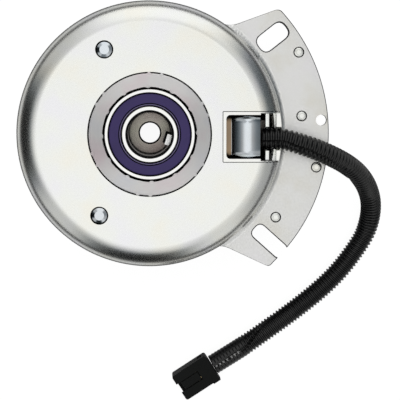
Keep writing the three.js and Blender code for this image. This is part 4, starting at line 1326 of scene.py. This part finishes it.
@dataclass
class DriveSprings:
    """Armature plate, leaf springs and their rivets."""

    bench: Bench
    circle_radius: float = 54.0
    first: float = 20.0
    step: float = 50.0
    width: float = 9.0
    thick: float = 0.8
    end_flat: float = 8.0
    count: int = 3
    plate: Pair = (42.0, 71.4)
    shank: float = 2.5
    head_clearance: float = 4.3
    head_depth: float = 2.6
    slot: Pair = (52.5, 55.5)
    slot_turn: Pair = (14.0, 106.0)
    hole: float = 2.6
    head: float = 4.2
    rivet: float = 2.2

    def build(self) -> None:
        """Make the plate, and a spring with its two rivets for each of the three places."""
        low, top = self.bench.span("armature_plate")
        (inner, outer), (start, end) = self.plate, self.slot_turn
        plate = lathe("armature_plate_ground", [
            (inner, low, 0.4), (outer, low, 0.5), (outer, top, 0.5), (inner, top, 0.4)], 160)
        starts = [self.first + 360 / self.count * i for i in range(self.count)]
        tools = []
        for turn in starts:
            hole = (self.circle_radius, turn + self.step)
            slot = sector(*self.slot, hole[1] + start, hole[1] + end, 30)
            tools += [prism("tool", turned_to(circle(self.shank), hole), low - 1, top + 1),
                      prism("tool", turned_to(circle(self.head_clearance), hole), top - self.head_depth,
                            top + 2),
                      prism("tool", slot, low - 1, top + 1)]
        self.bench.place(tidy(carve(plate, tools)), "armature_plate")
        for number, turn in enumerate(starts, 1):
            ends = polar(self.circle_radius, turn), polar(self.circle_radius, turn + self.step)
            self.bench.place(self.spring(f"leaf_spring_{number}", *ends), f"leaf_spring_{number}")
            self.rivets(number, *ends)

    def spring(self, node: str, start: Pair, end: Pair) -> bpy.types.Object:
        """Make a leaf spring from its pulley rivet to its armature rivet.

        Seen from above it is a bar with round ends; from the side it is flat, slopes as a smooth step, and
        is flat again.

        Args:
            node: The spring's CAD node.
            start: Plan place of the pulley rivet.
            end: Plan place of the armature rivet.

        Returns:
            The spring.
        """
        low, high = self.bench.span(node)
        high -= self.thick
        begin, finish = np.array(start), np.array(end)
        length, half = np.linalg.norm(finish - begin), self.width / 2
        cap = half * np.sin(np.radians(np.linspace(0, 90, 10)))
        along = np.concatenate([-cap[::-1], np.linspace(3, length - 3, 30), length + cap])
        over = np.clip(np.maximum(-along, along - length), 0, half)
        wide = np.sqrt(np.maximum(half**2 - over**2, 1e-6))
        across = np.linspace(-1, 1, 9)
        t = np.clip((along - self.end_flat) / (length - 2 * self.end_flat), 0, 1)
        height = low + (high - low) * t * t * (3 - 2 * t)
        unit = (finish - begin) / length
        side = np.array([-unit[1], unit[0]])
        plan = begin + along[:, None, None] * unit + (wide[:, None] * across)[..., None] * side
        points = np.concatenate([plan, np.broadcast_to(height[:, None, None], (*plan.shape[:2], 1))], axis=-1)
        strip = new_object(f"{node}_leaf", points, grid_quads(*plan.shape[:2], False, False))
        strip = tidy(thickened(strip, self.thick, 1))
        holes = [prism("tool", circle(self.hole, tuple(centre), 32), low - 3, high + 4)
                 for centre in (begin, finish)]
        return tidy(carve(strip, holes))

    def rivets(self, number: int, start: Pair, end: Pair) -> None:
        """Make the pulley rivet and the armature rivet of one spring."""
        shank, head = self.rivet, self.head
        low, top = self.bench.span(f"pulley_rivet_{number}")
        self.bench.turned(f"pulley_rivet_{number}", "headed", [
            (0, low), (shank, low, 0.3), (shank, top - 1.6), (head, top - 1.6, 0.3), (4.0, top - 0.5, 0.8),
            (0, top)], 48, 5, start)
        low, top = self.bench.span(f"armature_rivet_{number}")
        self.bench.turned(f"armature_rivet_{number}", "headed", [
            (0, low), (4.0, low + 0.4, 0.8), (head, low + 1.5, 0.3), (shank, low + 1.5), (shank, top - 1.8),
            (4.0, top - 1.8), (4.0, top, 0.3), (0, top)], 48, 5, end)


@dataclass
class Pulley:
    """The two halves of the belt pulley and the snap ring under its bearing."""

    bench: Bench
    radius: float = 66.0
    floor: float = 50.5
    seat: float = 26.3
    lower_rim: float = 6.7
    groove: Pair = (12.5, 16.7)
    upper_rim: float = 22.5
    ring_groove: Triple = (27.6, 4.4, 6.0)
    recess: tuple[float, float, float, float, float] = (31.0, 32.0, 45.5, 46.5, 3.6)
    shelf: Pair = (24.0, 21.5)
    ring: Pair = (24.6, 27.2)
    ring_gap: Pair = (25.0, 200.0)
    hole_depth: float = 3.9

    def build(self) -> None:
        """Make the three pieces."""
        low, joint = self.bench.span("pulley_lower_half")
        seat, floor, outer, low_groove, high_groove = self.seat, self.floor, self.radius, *self.groove
        back, ring_low, ring_top = self.ring_groove
        a, b, c, d, depth = self.recess
        self.bench.turned("pulley_lower_half", "turned", [
            (seat, joint), (seat, ring_top), (back, ring_top), (back, ring_low), (seat, ring_low, 0.2),
            (seat, low, 0.5), (a, low, 0.5), (b, low + depth, 1.0), (c, low + depth, 1.0), (d, low, 0.5),
            (outer, low, 1.0), (outer, self.lower_rim, 0.9), (floor, low_groove, 1.2), (floor, joint)], 180)
        joint, top = self.bench.span("pulley_upper_half")
        lip, shelf = self.shelf
        upper = lathe("pulley_upper_half_turned", [
            (lip, top, 0.5), (lip, shelf, 0.3), (seat, shelf), (seat, joint), (floor, joint),
            (floor, high_groove, 1.2), (outer, self.upper_rim, 0.9), (outer, top, 1.0)], 180)
        springs = DriveSprings
        places = [(springs.circle_radius, springs.first + i * 120) for i in range(springs.count)]
        holes = [prism("tool", turned_to(circle(springs.shank), at), top - self.hole_depth, top + 2)
                 for at in places]
        self.bench.place(tidy(carve(upper, holes)), "pulley_upper_half")
        low, top = self.bench.span("snap_ring")
        ring = lathe("snap_ring_wound", ring_outline(*self.ring, low, top, 0.2))
        gap = prism("tool", turned_to(rectangle((-5, 5), (-4, 4)), self.ring_gap), low - 2, top + 2)
        self.bench.place(tidy(carve(ring, [gap])), "snap_ring")


# ---- Lead --------------------------------------------------------------------------------------


@dataclass
class Lead:
    """The split corrugated conduit and the plug on its end.

    The ribs have one pitch at the cup and another beyond it, and change over along the coarse run. The slit's
    places are pairs of (run, degrees), first counted from the cup and then back from the plug. Light grey
    spots in the slit near the plug are painted highlights.
    """

    bench: Bench
    radius: float = 6.25
    valley: float = 0.9
    pitch: Pair = (2.75, 2.2)
    coarse_run: Pair = (30.0, 60.0)
    plain_run: float = 26.0
    samples: int = 8
    sides: int = 60
    slit_from_cup: tuple[Pair, ...] = ((0, 16), (14, 20), (40, 32), (62, 80), (90, 150))
    slit_to_plug: tuple[Pair, ...] = ((60, 150), (24, -7), (0, -12))
    slit_half: float = 8.0
    slit_depth: float = 1.5
    bright_spots: tuple[float, ...] = (1.6, 4.0, 6.7, 9.4, 12.4, 14.8, 17.3)
    spot_lean: float = -10.0
    wire_size: float = 0.75
    route: tuple[Triple, ...] = (
        (64.4, -2.6, 56.5), (76, -2.8, 56.5), (86, -5.4, 56.3), (96, -8.8, 54.2), (106, -13, 50),
        (116, -18.2, 43), (124.4, -24.5, 34.5), (130.8, -32.6, 25.5), (134.6, -42, 17), (135.2, -52, 10.6),
        (132.8, -62, 7.3), (127.6, -71.2, 6.6), (117, -85.2, 6.6), (106.2, -96, 6.6), (91.8, -107.8, 6.6),
        (74.6, -120.4, 6.6), (57.6, -132.2, 6.6), (38.9, -143.9, 6.6))
    plug_at: Pair = (27.9, -150.9)
    plug_turn: float = 213.0
    plug_half: Pair = (12.2, 8.7)
    plug_wall: float = 1.8
    terminal_y: float = 3.6

    def centre_line(self) -> np.ndarray:
        """Draw one smooth curve through the route and space its points evenly.

        The curve is a centripetal Catmull-Rom spline: between two points, it blends the lines through
        their neighbours by knot distances that grow with the square root of the spacing.

        Returns:
            Points, one every later pitch divided by the samples in a pitch.
        """
        p = np.array(self.route, float)
        p = np.concatenate([[2 * p[0] - p[1]], p, [2 * p[-1] - p[-2]]])
        knots = np.concatenate([[0.0], np.cumsum(np.linalg.norm(np.diff(p, axis=0), axis=1) ** 0.5)])
        parts = []
        for i in range(1, len(p) - 2):
            t = np.linspace(knots[i], knots[i + 1], 60, endpoint=i == len(p) - 3)[:, None]

            def mix(a: np.ndarray, b: np.ndarray, ta: float, tb: float) -> np.ndarray:
                """Blend two curves, each alone at its own knot."""
                return ((tb - t) * a + (t - ta) * b) / (tb - ta)

            a1, a2, a3 = (mix(p[i - 1 + k], p[i + k], knots[i - 1 + k], knots[i + k]) for k in range(3))
            b1 = mix(a1, a2, knots[i - 1], knots[i + 1])
            b2 = mix(a2, a3, knots[i], knots[i + 2])
            parts.append(mix(b1, b2, knots[i], knots[i + 1]))
        dense = np.concatenate(parts)
        run = np.concatenate([[0.0], np.cumsum(np.linalg.norm(np.diff(dense, axis=0), axis=1))])
        count = int(run[-1] / self.pitch[1] * self.samples)
        even = np.linspace(0, run[-1], count)
        return np.stack([np.interp(even, run, dense[:, k]) for k in range(3)], axis=-1)

    def build(self) -> None:
        path = self.centre_line()
        length = float(np.linalg.norm(np.diff(path, axis=0), axis=1).sum())
        loom = self.bench.place(self.conduit(path, length), "loom")
        # Painted highlight: light grey spots in the slit near the plug.
        self.bench.accent(loom, SLIT_HIGHLIGHT, lambda f: self.near_bright_spots(f.middle, path, length))
        on_it = [self.housing(), self.lock(), self.terminal(1), self.terminal(2)]
        LOG.info("conduit length %.1f mm", length)

    def conduit(self, path: np.ndarray, length: float) -> bpy.types.Object:
        """Make the conduit: ribs are a flattened cosine of the run, and the slit is a groove along it.

        The slit lies to one side at the cup, goes underneath, and comes to the top at the plug. The ribs are
        shallow on the plain run at the plug.

        Args:
            path: The centre line.
            length: Its length.

        Returns:
            The conduit.
        """
        run = np.linspace(0, length, len(path))
        step = np.interp(run, self.coarse_run, self.pitch)
        wave = np.cos(2 * np.pi * np.cumsum(np.gradient(run) / step))
        rib = np.clip(0.5 + 0.85 * wave, 0, 1)
        calm = 1 - 0.75 * np.clip((run - (length - self.plain_run)) / 5, 0, 1)
        radius = self.radius - self.valley * (1 - rib) * calm
        turn = np.degrees(np.linspace(0, 2 * np.pi, self.sides, endpoint=False))
        stops = [at for at, _ in self.slit_from_cup] + [length - at for at, _ in self.slit_to_plug]
        turns = [degrees for _, degrees in (*self.slit_from_cup, *self.slit_to_plug)]
        slit_at = np.interp(run, stops, turns)
        away = (turn[None, :] - slit_at[:, None] + 180) % 360 - 180
        groove = np.exp(-((away / self.slit_half) ** 4))
        return tube("loom_corrugated", path, radius[:, None] - self.slit_depth * groove, self.sides)

    def near_bright_spots(self, place: np.ndarray, path: np.ndarray, length: float) -> np.ndarray:
        """Tell which points lie on the small spots of the slit near the plug that are painted light grey as
        highlights.
        """
        run = length - np.array(self.bright_spots)
        index = np.round(run / length * (len(path) - 1)).astype(int)
        _, up, across = frames_along(path)
        over, aside = polar(self.radius - self.slit_depth, self.spot_lean)
        spot = path[index] + over * up[index] + aside * across[index]
        return np.linalg.norm(place[:, None, :] - spot[None], axis=-1).min(axis=1) < self.wire_size

    def plug_box(self, name: str, x: Pair, y: Pair, z: Pair, corner: float = 0.0) -> bpy.types.Object:
        """Make a block in the plug's own frame, +X towards its mouth, and lay it where the plug lies.

        Args:
            name: The block's name.
            x: Its two ends along the plug.
            y: Its two sides.
            z: Its lower and upper face.
            corner: Radius of its upright edges.

        Returns:
            The block.
        """
        outline = turned_by(rectangle(x, y, corner), self.plug_turn) + np.array(self.plug_at)
        return prism(name, outline, *z)

    def housing(self) -> bpy.types.Object:
        """Make the plug's housing: body, rib and shoulder, with its mouth and latch window cut."""
        low, top = self.bench.span("connector_housing")
        (front, half), wall = self.plug_half, self.plug_wall
        back = -front
        body = self.plug_box("connector_housing_moulded", (back, front), (-half, half), (low, top), 1.6)
        rib = self.plug_box("tool", (back, back + 5), (half - 1, half + 1.1), (low + 2, top - 2), 0.3)
        carve(body, [rib], "UNION")
        tools = [
            self.plug_box("tool", (back + 6, front + 1), (wall - half, half - wall),
                          (low + wall, top - wall)),
            self.plug_box("tool", (back + 9, front + 1), (-3, 3), (top - 2.5, top + 1)),
            self.plug_box("tool", (back + 2.5, back + 5.5), (-half - 1, 1.2 - half), (low + 4, top - 4)),
        ]
        return self.bench.place(bevelled(carve(body, tools), 0.35), "connector_housing")

    def lock(self) -> bpy.types.Object:
        """Make the latch that closes the window in the housing's top."""
        heights = self.bench.span("connector_lock")
        lock = self.plug_box("connector_lock_moulded", (-2.8, 9.2), (-2.6, 2.6), heights, 0.5)
        return self.bench.place(bevelled(lock, 0.25), "connector_lock")

    def terminal(self, number: int) -> bpy.types.Object:
        """Make one flat terminal in the plug's mouth."""
        node = f"terminal_{number}"
        low, top = self.bench.span(node)
        middle, wall = self.terminal_y * (2 * number - 3), 0.7
        blade = self.plug_box(f"{node}_folded", (-5.8, 4.7), (middle - 2, middle + 2), (low, top), 0.3)
        hole = self.plug_box("tool", (-1, 6), (middle - 1.4, middle + 1.4), (low + wall, top - wall))
        return self.bench.place(bevelled(carve(blade, [hole]), 0.15), node)


# ---- Stage -------------------------------------------------------------------------------------


@dataclass(frozen=True)
class Screen:
    """A stretch of the studio's walls: where it stands about the clutch, and how bright it is.

    Its edges fade, in azimuth from the core to the edge, and downwards from the start to the full angle,
    all in degrees. The last two are measured from straight overhead.
    """

    azimuth: float
    core: float
    edge: float
    start: float
    full: float
    brightness: float


@dataclass
class Sky:
    """The studio as a function of direction: a bright ceiling, and walls of lighter and darker screens.

    A dark part of it is as blue as dusk, and from a brightness of noon_from it is as white as noon. The
    camera itself sees plain white.
    """

    ceiling: float = 1.12
    wall: float = 0.66
    ceiling_edge: Pair = (16.0, 34.0)
    seen: float = 1.0
    dusk: Colour = (0.72, 0.90, 1.0)
    noon: Colour = (1.0, 1.0, 0.985)
    noon_from: float = 0.45
    screens: tuple[Screen, ...] = (
        Screen(140, 18, 44, 8, 22, 0.56),
        Screen(45, 22, 46, 5, 16, 0.60),
        Screen(-50, 20, 46, 8, 24, 0.80),
        Screen(84, 22, 44, 12, 30, 1.12),
        Screen(180, 14, 34, 22, 50, 0.0),
        Screen(-96, 14, 32, 30, 54, 0.0),
        Screen(14, 14, 38, 6, 60, 0.10),
        Screen(-24, 10, 24, 8, 60, 0.42),
    )

    def build(self) -> None:
        """Chain the ceiling and the screens by linear blends of their brightness."""
        world = bpy.data.worlds.new("studio")
        bpy.context.scene.world = world
        world.use_nodes = True
        nodes = Nodes(world.node_tree)
        plan, height = nodes.plan_of(nodes.add("TexCoord").outputs["Generated"])
        unit = nodes.vector("NORMALIZE", plan).outputs["Vector"]
        level = self._fade(nodes, height, self.ceiling_edge[::-1], (self.wall, self.ceiling))
        for screen in self.screens:
            aim = nodes.vector("DOT_PRODUCT", unit, (*polar(1.0, screen.azimuth), 0.0)).outputs["Value"]
            across = self._fade(nodes, aim, (screen.edge, screen.core), (0.0, 1.0))
            down = self._fade(nodes, height, (screen.full, screen.start), (1.0, 0.0))
            level = nodes.blend(nodes.combine("MULTIPLY", across, down), level, screen.brightness)
        background = nodes.tree.nodes["Background"]
        by_camera = nodes.add("LightPath").outputs["Is Camera Ray"]
        nodes.feed(background.inputs["Strength"], nodes.blend(by_camera, level, self.seen))
        white = nodes.combine("MAXIMUM", nodes.span(level, (0.0, self.noon_from), (0.0, 1.0)), by_camera)
        hue = nodes.blend(white, (*self.dusk, 1), (*self.noon, 1), "RGBA")
        nodes.feed(background.inputs["Color"], hue)

    def _fade(self, nodes: Nodes, value: bpy.types.NodeSocket, angles: Pair,
              levels: Pair) -> bpy.types.NodeSocket:
        """Turn the cosine of an angle into a smooth step between two levels, from one angle to the other."""
        cosines = [math.cos(math.radians(angle)) for angle in angles]
        return nodes.span(value, cosines, levels, smooth=True)


@dataclass
class Floor:
    """A pale sheet under the clutch, which the camera sees as plain white and sees through from below.

    Metal sees it by distance from the shaft: glowing in the pulley's own shade, dark just beyond the flange,
    lit where it is near, and dim further out. All the distances are in metres.
    """

    half_size: float = 3.0
    sunk: float = 0.05
    pulley_edge: Pair = (0.066, 0.070)
    below_glow: float = 0.6
    under: Pair = (0.112, 0.150)
    near: Pair = (0.17, 0.30)
    glow: Pair = (0.44, 0.02)
    shade: float = 0.18
    seen_glow: float = 0.93

    def build(self) -> None:
        """Lay the sheet, a little below the ground so that nothing lies exactly in it."""
        corners = np.array([(-1, -1), (1, -1), (1, 1), (-1, 1)]) * self.half_size / MM
        floor = new_object("floor", at_height(corners, -self.sunk), [(0, 1, 2, 3)])
        material = bpy.data.materials.new("floor")
        material.use_nodes = True
        nodes = Nodes(material.node_tree)
        nodes.tree.nodes.clear()
        output, both, side = nodes.add("OutputMaterial"), nodes.add("AddShader"), nodes.add("MixShader")
        glow, matt = nodes.add("Emission"), nodes.add("BsdfDiffuse")
        by_camera = nodes.add("LightPath").outputs["Is Camera Ray"]
        place = nodes.add("NewGeometry").outputs
        reach = nodes.vector("LENGTH", place["Position"]).outputs["Value"]
        near, out = nodes.span(reach, self.near, self.glow), nodes.span(reach, self.under, (0.0, 1.0))
        below = nodes.span(reach, self.pulley_edge, (self.below_glow, 0.0))
        light = nodes.combine("ADD", nodes.combine("MULTIPLY", near, out), below)
        nodes.feed(glow.inputs["Strength"], nodes.blend(by_camera, light, self.seen_glow))
        nodes.feed(matt.inputs["Color"], nodes.blend(by_camera, light, self.shade))
        nodes.feed(both.inputs[0], glow.outputs["Emission"])
        nodes.feed(both.inputs[1], matt.outputs["BSDF"])
        clear = nodes.add("BsdfTransparent").outputs["BSDF"]
        for socket, source in zip(side.inputs, (place["Backfacing"], both.outputs["Shader"], clear)):
            nodes.feed(socket, source)
        nodes.feed(output.inputs["Surface"], side.outputs["Shader"])
        floor.data.materials.append(material)


@dataclass
class Viewpoint:
    """The camera, nearly straight above the bore, and the plain rendering of tones."""

    top: float
    foot: Pair = (1.765, 14.01)
    aim: Pair = (28.53, -37.25)
    height: float = 750.0
    lens: float = 118.88
    clip: Pair = (0.01, 20.0)

    def build(self) -> None:
        """Hang the camera and tilt it to the middle of the clutch and its lead."""
        data = bpy.data.cameras.new("camera")
        data.lens = self.lens
        data.sensor_width = 36.0
        data.clip_start, data.clip_end = self.clip
        camera = bpy.data.objects.new("camera", data)
        bpy.context.scene.collection.objects.link(camera)
        spot = Vector((*self.foot, self.top + self.height)) * MM
        aim = Vector((*self.aim, self.top)) * MM
        back = (spot - aim).normalized()
        right = Vector((0, 1, 0)).cross(back).normalized()
        camera.location = spot
        camera.rotation_euler = Matrix((right, back.cross(right), back)).transposed().to_euler()
        bpy.context.scene.camera = camera
        bpy.context.scene.view_settings.view_transform = "Standard"


def main() -> None:
    """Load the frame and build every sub-assembly round it."""
    logging.basicConfig(level=logging.INFO, format="%(message)s")
    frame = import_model()
    bench = Bench(frame)
    parts = (
        Viewpoint(float(bench.top)), Lead(bench), FieldShell(bench), HubRing(bench), Bearing(bench, "field"),
        Bearing(bench, "pulley"), FieldBalls(bench), Coil(bench), LeadWindow(bench), Brake(bench),
        Rotor(bench), DriveSprings(bench), Pulley(bench), Sky(), Floor())
    for part in parts:
        LOG.info("building %s", type(part).__name__)
        part.build()


if __name__ == "__main__":
    main()
